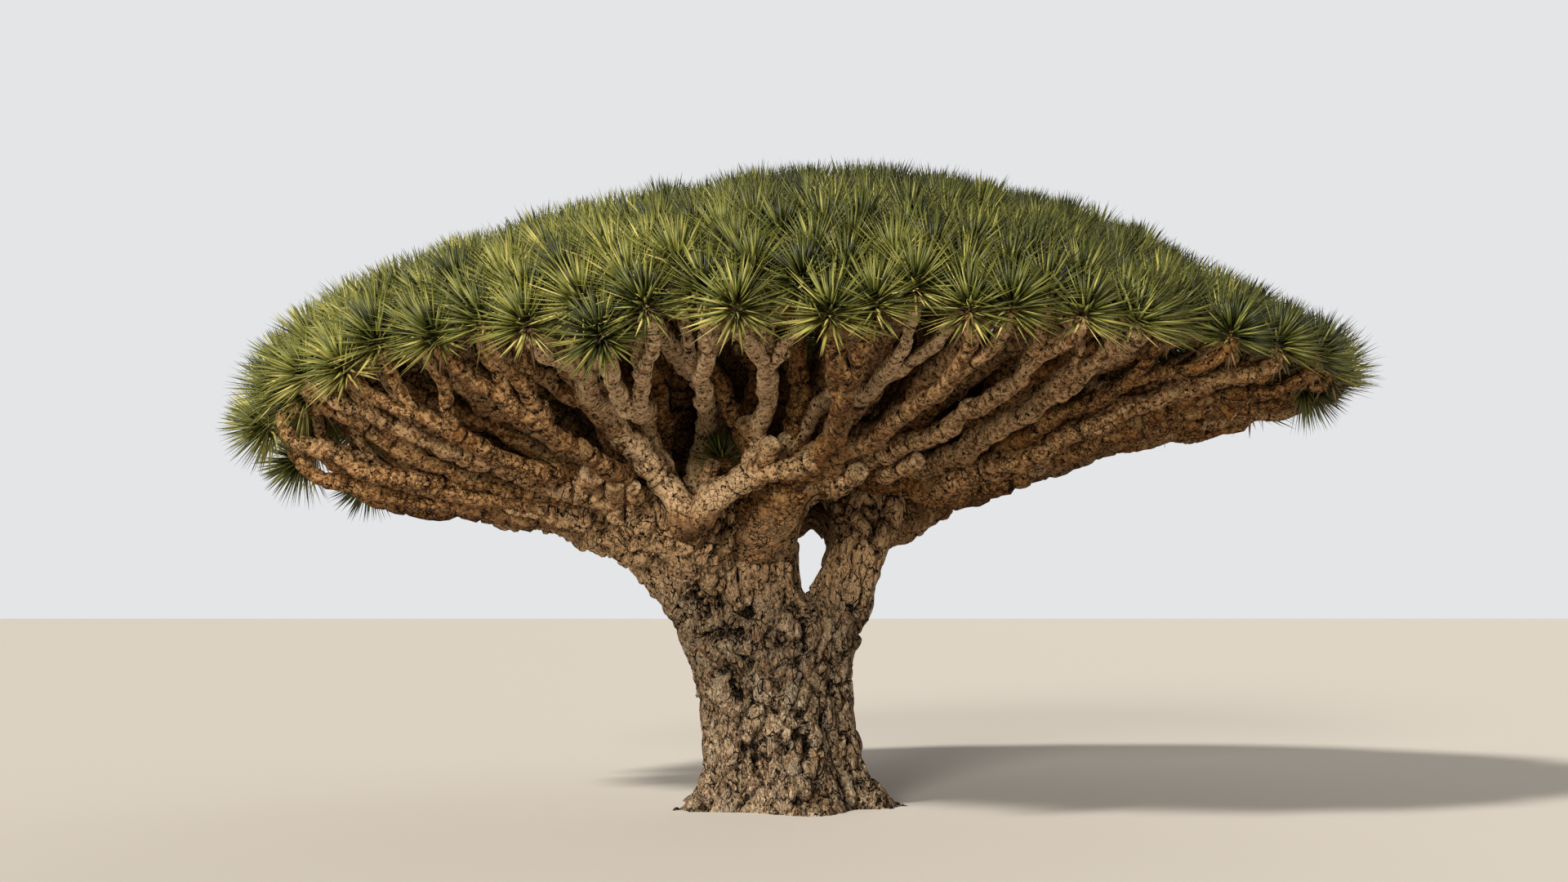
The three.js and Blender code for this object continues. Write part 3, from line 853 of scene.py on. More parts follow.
    def climbing_path(self, rib: Rib, bearing: float, start: Array) -> list[Array]:
        """The path of a limb that climbs into the crown, bowed outward.

        Args:
            rib: the limb's turn and ends.
            bearing: the middle of its mass, as an angle round the axis.
            start: where it leaves its bough.

        Returns:
            Its start, middle and end.
        """
        turned = bearing + math.radians(rib.turn)
        height = rib.height + self.crown.tilt(rib.out / self.crown.reach_x, turned)
        end = self.crown.outward(turned, rib.out, height)
        bow = self.rib_bow * np.array((math.cos(turned), math.sin(turned), 0))
        return [start, mix(start, end, 0.5) + bow, end]

    def aim_of(self, limb: Rib | Arm, bearing: float) -> Array:
        """The place in the foliage that a rib or an arm aims for."""
        return self.crown.point(limb.aim, bearing + math.radians(limb.turn), self.rosettes.depth)

    def ribs_of(self, ring: int, mass: int, boughs: list) -> list[tuple[list, Optional[Arm], Array]]:
        """One mass's limbs, from its bough to where its twigs start.

        Args:
            ring: the number of the ring of foliage.
            mass: the number of the mass in its ring.
            boughs: the paths and radii of the boughs.

        Returns:
            For each limb its path, the arm that sets its radii, if any, and the place that it aims for.
        """
        bearing = (mass + 0.5) * TURN / RINGS[ring].masses
        bough = boughs[(mass // 2, mass, 6)[ring]][0]
        found = []
        given = ring == 0 and mass in self.own_arms
        for rib in () if given else (self.rim_ribs, self.shoulder_ribs, self.top_ribs)[ring]:
            start = bough[round(rib.leaves_at * (len(bough) - 1))]
            here = math.atan2(start[1], start[0] - self.crown.axis_x)
            near = bearing + TURN * round((here - bearing) / TURN)
            make = self.rim_path if ring == 0 else self.climbing_path
            found.append((make(rib, near, start), None, self.aim_of(rib, bearing)))
        for arm in self.arms:
            if ring == 0 and arm.mass == mass:
                found.append(([np.array(point) for point in arm.path], arm, self.aim_of(arm, bearing)))
        return found

    def grow(self, path: list, radii: list, group: Array, ring: int, limbs: list) -> None:
        """Forks a twig part of the way to the middle of its rosettes, until each twig has one.

        Args:
            path: the twig's path so far.
            radii: its radii so far.
            group: the numbers of the rosettes that it carries.
            ring: the ring of foliage that it grows in.
            limbs: takes the finished twigs.
        """
        start = path[-1]
        knees = self.rosettes.feet[group] - self.rosettes.axes[group] * self.last_length
        if len(group) == 1:
            foot, axis = self.rosettes.feet[group[0]], self.rosettes.axes[group[0]]
            whole = path + [knees[0], foot - axis * self.neck]
            limbs.append(Limb(whole, radii + [self.tip_radius, self.tip_radius * self.tip_swell]))
            return
        leg = knees.mean(axis=0) - start
        share = next(share for count, share in self.fork_shares if len(group) >= count)
        sag = self.sag[ring] * (1 - self.right_stiffness * max(start[0], 0) / self.crown.reach_x)
        fork = start + leg * share - UP * sag * np.linalg.norm(leg) * share
        longest = int(np.argmax(np.ptp(knees, axis=0)))
        order = group[np.argsort(knees[:, longest])]
        half = (len(order) + 1) // 2
        back = fork - unit(fork - start) * self.thickness(half)
        self.grow(path + [fork], radii + [self.thickness(len(group))], order[:half], ring, limbs)
        thin = self.thickness(len(order) - half)
        self.grow([back, fork], [thin * self.branch_neck, thin], order[half:], ring, limbs)

    def grow_rib(self, rib: tuple, carried: Array, ring: int) -> list:
        """One limb of a mass with all its twigs.

        Args:
            rib: the limb's path, the arm that sets its radii, if any, and its aim.
            carried: the numbers of the rosettes that it carries.
            ring: the ring of foliage that it grows in.

        Returns:
            The limb and its twigs.
        """
        path, arm, _ = rib
        thick = self.thickness(len(carried)) + self.rib_extra
        plain = [mix(thick * self.rib_taper, thick, place / (len(path) - 1)) for place in range(len(path))]
        limbs = []
        self.grow(path, list(arm.radii if arm else plain), carried, ring, limbs)
        pale = arm.pale if arm else self.random.uniform(*self.rib_pale[ring])
        few, many = self.limb_sides
        for limb in limbs:
            limb.pale = pale
            limb.sides = few if max(limb.radii) < self.thick_limb else many
        return limbs

    def build(self) -> None:
        """Grows every mass from its bough: limbs[ring, mass] holds its limbs and twigs."""
        boughs = self.boughs()
        for ring, mass in [(r, m) for r, kind in enumerate(RINGS) for m in range(kind.masses)]:
            group = self.rosettes.of(ring, mass)
            ribs = self.ribs_of(ring, mass, boughs)
            aims = np.array([aim for _, _, aim in ribs])
            feet = self.rosettes.feet[group]
            nearest = np.argmin(np.linalg.norm(feet[:, None] - aims[None], axis=-1), axis=1)
            grown = []
            for number, rib in enumerate(ribs):
                carried = group[nearest == number]
                if len(carried):
                    grown += self.grow_rib(rib, carried, ring)
            self.limbs[ring, mass] = grown + self.stubs.on(grown, ring, mass)


# Leaves

@dataclass(frozen=True)
class Leaves:
    """Stiff sword leaves, each a closed three-sided blade of six faces, widest a third of the way out."""

    length: float = 0.425
    width: float = 0.025
    keel: float = 0.007
    widest: float = 0.36
    droop: float = 0.10
    stem: float = 0.075
    belt_drop: float = 0.15
    roll: float = 0.12
    twist: float = 0.35
    turn_jitter: float = 0.10
    tilt_jitter: float = 0.05
    tilt_power: float = 0.62
    base_radius: float = 0.034
    lengths: Span = (0.88, 1.02)
    young_length: Span = (0.80, 0.20)
    droops: Span = (0.2, 1.0)

    def blades(self, root: Array, way: Array, axis: Array, length: Array,
               bend: Array, random: Chance) -> Array:
        """The five points of each blade: its root, three round its widest place and its tip.

        Args:
            root: where each leaf starts.
            way: which way it points.
            axis: its rosette's axis, which its upper face looks to.
            length: its length in metres.
            bend: how far its tip drops, as a share of its length.
            random: the source of chance.

        Returns:
            The points, as leaves by five by three.
        """
        side = unit(np.cross(way, axis + random.normal(0, self.roll, way.shape)))
        lift = np.cross(side, way)
        twist = random.normal(0, self.twist, len(way))[:, None]
        side, lift = side * np.cos(twist) + lift * np.sin(twist), lift * np.cos(twist) - side * np.sin(twist)
        half = side * (self.width / 2)
        belt = root + way * (length * self.widest)[:, None] - UP * (length * bend * self.belt_drop)[:, None]
        tip = root + way * length[:, None] - UP * (length * bend)[:, None]
        return np.stack([root, belt - half, belt + half, belt - lift * self.keel, tip], axis=1)

    def faces(self, count: int) -> list[Array]:
        """The faces of a number of blades.

        Args:
            count: how many blades there are.

        Returns:
            The two upper faces of each, then the four lower ones.
        """
        upper = np.array(((0, 2, 1), (1, 2, 4)))
        lower = np.array(((0, 1, 3), (0, 3, 2), (3, 1, 4), (2, 3, 4)))
        starts = np.arange(count)[:, None, None] * 5
        return [(starts + part[None]).reshape(-1, 3) for part in (upper, lower)]

    def rosette(self, foot: Array, axis: Array, count: int, lean: float, size: float,
                random: Chance) -> tuple[Array, Array]:
        """One head of leaves, from the upright middle ones to the oldest, which spread widest.

        Args:
            foot: the end of its twig.
            axis: the way that it faces.
            count: how many leaves it has.
            lean: how far the oldest lean from the axis.
            size: the length of a leaf as a share of the full one.
            random: the source of chance.

        Returns:
            The points of its blades and the age of each, from 0 to 1.
        """
        age = (np.arange(count) + 0.5) / count
        turn = np.arange(count) * GOLDEN_ANGLE + random.normal(0, self.turn_jitter, count)
        tilt = lean * age**self.tilt_power + random.normal(0, self.tilt_jitter, count)
        side = across(axis)
        other = np.cross(axis, side)
        flat = side * np.cos(turn)[:, None] + other * np.sin(turn)[:, None]
        way = unit(axis * np.cos(tilt)[:, None] + flat * np.sin(tilt)[:, None])
        root = foot - axis * (self.stem * age)[:, None] + flat * (self.base_radius * age)[:, None]
        youngest, growth = self.young_length
        grown = youngest + growth * np.minimum(1, age * 5)
        length = self.length * size * random.uniform(*self.lengths, count) * grown
        level = np.clip(1 - np.abs(way[:, 2]), 0, 1)
        bend = self.droop * age * level * random.uniform(*self.droops, count)
        return self.blades(root, way, axis, length, bend, random), age

    def lay(self, heap: Heap, blades: Array, upper: Array, lower: Array) -> None:
        """Adds blades to a heap, each with a material number for its upper and its lower side."""
        heap.add(blades.reshape(-1, 3), self.faces(len(blades)), [np.repeat(upper, 2), np.repeat(lower, 4)])


@dataclass(frozen=True)
class PlainFinish:
    """One plain colour."""

    name: str
    colour: Colour
    roughness: float = 0.45
    gloss: float = 0.30

    def dress(self) -> bpy.types.Material:
        """Makes the material."""
        material = bpy.data.materials.new(self.name)
        material.use_nodes = True
        shader = material.node_tree.nodes["Principled BSDF"]
        shader.inputs["Base Color"].default_value = (*self.colour, 1)
        shader.inputs["Roughness"].default_value = self.roughness
        shader.inputs["Specular IOR Level"].default_value = self.gloss
        return material


LEAF_TONES = (
    PlainFinish("leaf_deep", (0.013, 0.017, 0.003)),
    PlainFinish("leaf_green", (0.064, 0.074, 0.014)),
    PlainFinish("leaf_fresh", (0.166, 0.172, 0.034)),
    PlainFinish("leaf_olive", (0.310, 0.290, 0.070)),
    PlainFinish("leaf_yellowing", (0.540, 0.470, 0.150)),
    PlainFinish("leaf_dead", (0.240, 0.150, 0.070), 0.8),
)
DEAD = len(LEAF_TONES) - 1


@dataclass
class Foliage:
    """All the rosettes of the crown, as a few joined pieces.

    A tone is a place in the list of leaf colours, from deep to yellowing.
    """

    rosettes: Rosettes
    leaves: Leaves = Leaves()
    counts: Span = (0.85, 1.1)
    sizes: Span = (0.88, 1.0)
    middle_tone: float = 1.20
    left_tone: float = 0.34
    old_tone: float = 1.4
    under_tone: float = 0.6
    head_spread: float = 0.40
    leaf_spread: float = 0.70
    dead_share: float = 0.40
    dead_count: int = 9
    dead_first: int = 4
    dead_lean: float = math.radians(160)
    dead_size: float = 0.6
    dead_drop: float = 0.06

    def tints(self, age: Array, tone: float, random: Chance) -> tuple[Array, Array]:
        """Material numbers of the upper and lower faces of some leaves.

        Args:
            age: the age of each leaf from 0 to 1.
            tone: the rosette's own lightness.
            random: the source of chance.

        Returns:
            One number for the upper side of each leaf and one for the lower.
        """
        spread = random.normal(0, self.leaf_spread, len(age))
        level = self.middle_tone + tone + self.old_tone * age**2 + spread
        upper = np.clip(np.round(level), 0, DEAD - 1).astype(int)
        lower = np.clip(np.round(level - self.under_tone), 0, DEAD - 1).astype(int)
        return upper, lower

    def add(self, heap: Heap, number: int, ring: Ring, random: Chance) -> None:
        """Adds one rosette to a heap, with a few dead leaves under some.

        Args:
            heap: the heap that it joins.
            number: the rosette's number.
            ring: its ring of foliage.
            random: the source of chance.
        """
        foot, axis = self.rosettes.feet[number], self.rosettes.axes[number]
        count = int(ring.leaves * random.uniform(*self.counts))
        size = random.uniform(*self.sizes)
        blades, age = self.leaves.rosette(foot, axis, count, ring.lean, size, random)
        side = -foot[0] / self.rosettes.crown.reach_x
        tone = ring.tone + self.left_tone * side + random.normal(0, self.head_spread)
        upper, lower = self.tints(age, tone, random)
        if ring is RIM and random.random() < self.dead_share:
            low = foot - axis * self.dead_drop
            dead, _ = self.leaves.rosette(low, axis, self.dead_count, self.dead_lean, self.dead_size, random)
            dead = dead[self.dead_first:]
            blades = np.concatenate([blades, dead])
            upper, lower = (np.append(tints, np.full(len(dead), DEAD)) for tints in (upper, lower))
        self.leaves.lay(heap, blades, upper, lower)

    def piece(self, name: str, numbers: Array, ring: Ring, materials: list) -> Piece:
        """Joins some rosettes into one piece.

        Args:
            name: the piece's name.
            numbers: the rosettes' numbers.
            ring: their ring of foliage.
            materials: the materials of the leaf tones.

        Returns:
            The piece.
        """
        heap = Heap()
        random = np.random.default_rng(SEED + len(name) + int(numbers[0]))
        for number in numbers:
            self.add(heap, number, ring, random)
        LOG.info("%s: %d rosettes, %d triangles", name, len(numbers), heap.triangles())
        return heap.piece(name, materials)


# Materials

class Wire:
    """A socket that takes Python's operators, each of which adds a Math node."""

    def __init__(self, tree: bpy.types.NodeTree, socket: bpy.types.NodeSocket) -> None:
        """Wraps a socket of a tree."""
        self.tree = tree
        self.socket = socket

    def math(self, operation: str, first: Any, second: Any) -> "Wire":
        """Adds a Math node with two values."""
        return add_node(self.tree, "ShaderNodeMath", {"operation": operation}, {0: first, 1: second})

    def __add__(self, other: Any) -> "Wire":
        """This plus another."""
        return self.math("ADD", self, other)

    __radd__ = __add__

    def __sub__(self, other: Any) -> "Wire":
        """This less another."""
        return self.math("SUBTRACT", self, other)

    def __rsub__(self, other: Any) -> "Wire":
        """Another less this."""
        return self.math("SUBTRACT", other, self)

    def __mul__(self, other: Any) -> "Wire":
        """This times another."""
        return self.math("MULTIPLY", self, other)

    __rmul__ = __mul__

    def __pow__(self, other: Any) -> "Wire":
        """This to a power."""
        return self.math("POWER", self, other)


def add_node(tree: bpy.types.NodeTree, kind: str, settings: Optional[dict] = None,
             inputs: Optional[dict] = None, output: int = 0) -> Wire:
    """Adds a node.

    Args:
        tree: the node tree that takes it.
        kind: the node's type.
        settings: its own settings, set first.
        inputs: a value or a wire for each socket by name or number.
        output: the number of the socket that is returned.

    Returns:
        A wire from the node.
    """
    node = tree.nodes.new(kind)
    configure(node, settings)
    for name, value in (inputs or {}).items():
        if isinstance(value, Wire):
            tree.links.new(value.socket, node.inputs[name])
        else:
            node.inputs[name].default_value = value
    return Wire(tree, node.outputs[output])


BARK_GLOSS = 0.12


@dataclass(frozen=True)
class Patch:
    """A mask of noise.

    It has a size in metres, a detail, the levels where it starts and is full, and a share.
    """

    size: float
    detail: float
    low: float
    high: float
    share: float = 1.0
    rough: float = 0.6


class Dresser:
    """Builds the nodes of one material."""

    def __init__(self, name: str) -> None:
        """Starts a material.

        Args:
            name: the material's name.
        """
        self.material = bpy.data.materials.new(name)
        self.material.use_nodes = True
        self.tree = self.material.node_tree
        self.shader = self.tree.nodes["Principled BSDF"]

    def node(self, kind: str, settings: Optional[dict] = None, inputs: Optional[dict] = None,
             output: int = 0) -> Wire:
        """Adds a node to the material."""
        return add_node(self.tree, kind, settings, inputs, output)

    def place(self) -> Wire:
        """The place on the object, in metres."""
        return self.node("ShaderNodeTexCoord", output=3)

    def mark(self, name: str) -> Wire:
        """A named number of the mesh."""
        return self.node("ShaderNodeAttribute", {"attribute_name": name}, output=2)

    def vector(self, operation: str, inputs: dict, output: int = 0) -> Wire:
        """Adds a Vector Math node."""
        return self.node("ShaderNodeVectorMath", {"operation": operation}, inputs, output)

    def noise(self, place: Wire, size: float, detail: float = 4, rough: float = 0.6, output: int = 0) -> Wire:
        """Noise from 0 to 1 with ripples of a size in metres."""
        inputs = {"Vector": place, "Scale": 1 / size, "Detail": detail, "Roughness": rough}
        return self.node("ShaderNodeTexNoise", None, inputs, output)

    def patch(self, place: Wire, patch: Patch) -> Wire:
        """A mask of noise from 0 to the patch's share."""
        noise = self.noise(place, patch.size, patch.detail, patch.rough)
        return self.ease(noise, patch.low, patch.high) * patch.share

    def warped(self, place: Wire, size: float, reach: float) -> Wire:
        """The place moved about by noise, so that cells lose their straight edges.

        Args:
            place: the place in metres.
            size: the width of the noise's ripples.
            reach: how far the place moves at most.

        Returns:
            The moved place.
        """
        colour = self.noise(place, size, 3, 0.5, 1)
        centred = self.vector("SUBTRACT", {0: colour, 1: (0.5, 0.5, 0.5)})
        moved = self.vector("SCALE", {0: centred, "Scale": reach * 2})
        return self.vector("ADD", {0: place, 1: moved})

    def stretched(self, place: Wire, share: float) -> Wire:
        """The place squeezed upright, so that patterns on it grow taller by a share."""
        return self.vector("MULTIPLY", {0: place, 1: (1.0, 1.0, 1 / share)})

    def cracks(self, place: Wire, size: float, width: float) -> Wire:
        """A mask of the cracks between cells.

        Args:
            place: the place in metres.
            size: the width of a cell.
            width: the width of a crack.

        Returns:
            A wire that is 1 in the cracks and 0 beyond their width.
        """
        inputs = {"Vector": place, "Scale": 1 / size}
        edge = self.node("ShaderNodeTexVoronoi", {"feature": "DISTANCE_TO_EDGE"}, inputs)
        return 1 - self.ease(edge, 0.005, width)

    def inside(self, place: Wire, centre: tuple, reach: tuple) -> Wire:
        """How deep a place is in an egg-shaped space, from 0 at its edge to 1 halfway in."""
        share = self.vector("DIVIDE", {0: self.vector("SUBTRACT", {0: place, 1: centre}), 1: reach})
        return 1 - self.ease(self.vector("LENGTH", {0: share}, 1), 0.55, 1.0)

    def ease(self, value: Wire, low: float, high: float) -> Wire:
        """A value's smooth climb from 0 at the low mark to 1 at the high one."""
        settings = {"interpolation_type": "SMOOTHSTEP"}
        return self.node("ShaderNodeMapRange", settings, {"Value": value, "From Min": low, "From Max": high})

    def blend(self, share: Any, first: Any, second: Any, how: str = "MIX") -> Wire:
        """Mixes two colours.

        Args:
            share: the second colour's share.
            first: a colour or a wire.
            second: a colour or a wire.
            how: the Mix node's way of mixing.

        Returns:
            A wire with the mixed colour.
        """
        pair = [value if isinstance(value, Wire) else (*value, 1) for value in (first, second)]
        inputs = {0: share, 6: pair[0], 7: pair[1]}
        return self.node("ShaderNodeMix", {"data_type": "RGBA", "blend_type": how}, inputs, 2)

    def layered(self, colour: Wire, layers: tuple, how: str = "MIX") -> Wire:
        """Lays colours over a colour.

        Args:
            colour: the colour below.
            layers: the share and the colour of each layer, from the lowest to the highest.
            how: the Mix node's way of mixing.

        Returns:
            A wire with the colour on top.
        """
        for share, tone in layers:
            colour = self.blend(share, colour, tone, how)
        return colour

    def finish(self, colour: Wire, roughness: Wire, height: Wire, depth: float, strength: float) -> None:
        """Joins colour, roughness and bump to the shader.

        Args:
            colour: the base colour.
            roughness: the roughness.
            height: the height of the bark's fine relief.
            depth: that relief's depth in metres.
            strength: how much of it shows.
        """
        inputs = {"Height": height, "Distance": depth, "Strength": strength}
        normal = self.node("ShaderNodeBump", None, inputs)
        self.shader.inputs["Specular IOR Level"].default_value = BARK_GLOSS
        self.tree.links.new(colour.socket, self.shader.inputs["Base Color"])
        self.tree.links.new(roughness.socket, self.shader.inputs["Roughness"])
        self.tree.links.new(normal.socket, self.shader.inputs["Normal"])


@dataclass(frozen=True)
class LimbFinish:
    """The orange-brown bark of boughs, limbs and twigs, with pits, cracks, pale cut ends and painted shade.
    """

    name: str = "limb_bark"
    light: Colour = (0.530, 0.285, 0.102)
    middle: Colour = (0.125, 0.057, 0.018)
    rust: Colour = (0.340, 0.140, 0.030)
    grey: Colour = (0.500, 0.345, 0.165)
    dark: Colour = (0.008, 0.004, 0.001)
    # Painted shade: the multiplier for limbs deep inside the crown.
    painted_crown_shade: Colour = (0.200, 0.160, 0.120)
    low: Colour = (0.860, 0.780, 0.700)
    near: Colour = (0.420, 0.290, 0.170)
    # The multiplier of the painted shade on the limbs' undersides.
    under: Colour = (0.340, 0.250, 0.180)
    cut: Colour = (0.720, 0.540, 0.330)
    pale: Colour = (0.930, 0.670, 0.400)
    bend: Span = (0.04, 0.014)
    cracked: Patch = Patch(0.16, 3, 0.38, 0.56)
    smooth: Patch = Patch(0.026, 3, 0.33, 0.42, 1.0, 0.55)
    rusty: Patch = Patch(0.40, 3, 0.48, 0.66)
    greyed: Patch = Patch(0.25, 4, 0.52, 0.68, 0.6)
    pale_heights: Span = (2.08, 2.34)
    near_heights: Span = (2.30, 2.62)
    low_heights: Span = (2.45, 2.95)
    shade_egg_centre: tuple = (0.10, 0.72, 2.96)
    shade_egg_reach: tuple = (3.30, 2.30, 0.95)

    def dress(self) -> bpy.types.Material:
        """Makes the material."""
        d = Dresser(self.name)
        place = d.place()
        bent = d.warped(place, *self.bend)
        mottle = d.noise(bent, 0.042, 8, 0.74)
        flecks = d.noise(place, 0.016, 5, 0.75)
        crack = d.cracks(bent, 0.048, 0.105) * d.patch(place, self.cracked)
        pits = 1 - d.patch(bent, self.smooth)
        up = d.node("ShaderNodeSeparateXYZ", None, {0: place}, 2)
        pale = d.mark("pale") * d.ease(up, *self.pale_heights)
        near = 1 - d.ease(up + mottle * 0.4, *self.near_heights)
        low = 1 - d.ease(up + mottle * 0.3, *self.low_heights)
        specks = 1 - d.ease(flecks, 0.34, 0.45)
        # Painted shade in the rings' pinches and on round ends, strongest where the mottle is dark.
        crease = d.mark("crease") * d.ease(mottle, 0.70, 0.38)
        shade = crack * (0.75 - pale * 0.4 + low * 0.3) + pits * 0.95 + crease * 1.2 + specks * 0.7
        cut = d.ease(d.mark("cut"), 0.30, 0.95) * d.ease(mottle, 0.32, 0.60)
        # Painted shade on the sides that face down, less on pale limbs.
        under = d.ease(d.mark("under"), 0.30, 1.0) * (1 - pale * 0.5)
        colour = d.blend(d.ease(mottle + pale * 0.05, 0.42, 0.59), self.middle, self.light)
        colour = d.layered(colour, (
            (d.patch(place, self.rusty) * (1 - low * 0.8) * 0.60, self.rust),
            (d.ease(mottle + pale * 0.10, 0.46, 0.64) * pale, self.pale),
            (d.patch(bent, self.greyed), self.grey),
            (near * (1 - pale) * 0.6, self.near),
            (cut, self.cut),
            (d.ease(shade, 0.0, 1.1) * (1 - cut * 0.6), self.dark),
        ))
        colour = d.layered(colour, (
            # Painted shade: limbs darken deep inside the crown.
            (d.inside(place, self.shade_egg_centre, self.shade_egg_reach), self.painted_crown_shade),
            (low * (1 - pale), self.low),
            # Painted shade on the undersides of the limbs.
            (under * 0.85, self.under),
        ), "MULTIPLY")
        height = mottle + flecks * 0.5 - crack * 0.5 - pits * 0.8
        d.finish(colour, 0.74 + flecks * 0.2, height, 0.022, 0.9)
        return d.material


@dataclass(frozen=True)
class TrunkFinish:
    """The grey-brown, cracked and pitted bark of the trunk, warmer where the boughs leave it, and much
    brighter there as painted light in the crown's shade.
    """

    name: str = "trunk_bark"
    light: Colour = (0.590, 0.425, 0.265)
    middle: Colour = (0.140, 0.082, 0.042)
    pale: Colour = (0.880, 0.760, 0.570)
    # Part real orange hue near the boughs, part painted light: bright enough to lift the upper trunk out of
    # the crown's shade.
    warm_and_painted_light: Colour = (0.950, 0.590, 0.290)
    rust: Colour = (0.260, 0.110, 0.038)
    grey: Colour = (0.420, 0.360, 0.270)
    dark: Colour = (0.008, 0.005, 0.002)
    stretch: float = 1.7
    bend: Span = (0.07, 0.03)
    fissured: Patch = Patch(0.15, 3, 0.40, 0.56)
    smooth: Patch = Patch(0.034, 3, 0.30, 0.40, 1.0, 0.55)
    greyed: Patch = Patch(0.18, 4, 0.53, 0.62, 0.55)
    rusty: Patch = Patch(0.12, 4, 0.55, 0.64, 0.65)
    warm_and_painted_light_heights: Span = (1.7, 2.7)

    def dress(self) -> bpy.types.Material:
        """Makes the material."""
        d = Dresser(self.name)
        place = d.place()
        upright = d.stretched(place, self.stretch)
        bent = d.warped(upright, *self.bend)
        mottle = d.noise(bent, 0.048, 8, 0.76)
        flecks = d.noise(upright, 0.018, 5, 0.75)
        grit = d.noise(bent, 0.026, 4, 0.70)
        broad = d.noise(place, 0.30, 3)
        fissure = d.cracks(bent, 0.085, 0.06) * d.patch(place, self.fissured)
        flake = d.cracks(bent, 0.040, 0.09)
        pits = 1 - d.patch(bent, self.smooth)
        # Painted shade in the relief's recesses, here, and in the sunk pockets, in the sum below.
        hollow = 1 - d.ease(d.mark("relief"), 0.16, 0.54)
        up = d.node("ShaderNodeSeparateXYZ", None, {0: place}, 2)
        # Painted light over a real orange hue: the trunk turns much brighter higher up, under the crown.
        warm_and_painted_light_share = d.ease(up + broad * 0.9, *self.warm_and_painted_light_heights)
        shade = fissure * 1.1 + pits * 0.9 + hollow * 0.70 + d.mark("hollow") * 0.25
        shade = shade + (1 - d.ease(grit, 0.38, 0.48)) * 0.65 + (1 - d.ease(flecks, 0.34, 0.46)) * 0.4
        shade = shade + flake * d.ease(mottle, 0.56, 0.42) * 0.6
        colour = d.blend(d.ease(mottle, 0.40, 0.60), self.middle, self.light)
        colour = d.layered(colour, (
            (d.patch(bent, self.greyed), self.grey),
            (d.patch(place, self.rusty), self.rust),
            (d.ease(flecks, 0.53, 0.63) * 0.75, self.pale),
            (warm_and_painted_light_share * 0.80, self.warm_and_painted_light),
            (d.ease(broad, 0.40, 0.62) * 0.35, self.middle),
            (d.ease(shade, 0.0, 1.15), self.dark),
        ))
        height = mottle + flecks * 0.6 + grit * 0.8 - fissure * 0.5 - pits * 0.8 - flake * 0.4
        d.finish(colour, 0.80 + flecks * 0.2, height, 0.035, 1.0)
        return d.material


# The trunk

def deselect() -> None:
    """Leaves nothing selected."""
    bpy.ops.object.select_all(action="DESELECT")


def activate(*objects: Piece) -> None:
    """Selects some objects, the first as the active one.

    Args:
        objects: the objects.
    """
    deselect()
    for each in objects:
        each.select_set(True)
    bpy.context.view_layer.objects.active = objects[0]


def apply(target: Piece, kind: str, settings: dict) -> None:
    """Adds a modifier and applies it.

    Args:
        target: the active object.
        kind: the modifier's type.
        settings: its own settings.
    """
    modifier = target.modifiers.new("shape", kind)
    configure(modifier, settings)
    bpy.ops.object.modifier_apply(modifier=modifier.name)


def read_points(target: Piece) -> tuple[Array, Array]:
    """Reads a mesh's points.

    Args:
        target: the object with the mesh.

    Returns:
        Their places and their normals.
    """
    found = []
    for source, name in ((target.data.vertices, "co"), (target.data.vertex_normals, "vector")):
        values = np.zeros(len(source) * 3, np.float32)
        source.foreach_get(name, values)
        found.append(values.reshape(-1, 3).astype(float))
    return found[0], found[1]


def move_points(target: Piece, places: Array) -> None:
    """Moves a mesh's points to new places."""
    target.data.vertices.foreach_set("co", places.astype(np.float32).ravel())
    target.data.update()


CLOUDS = {"noise_depth": 3}
CRACKLE = {"noise_basis": "VORONOI_CRACKLE", "noise_distortion": "ORIGINAL_PERLIN", "distortion": 0.7}


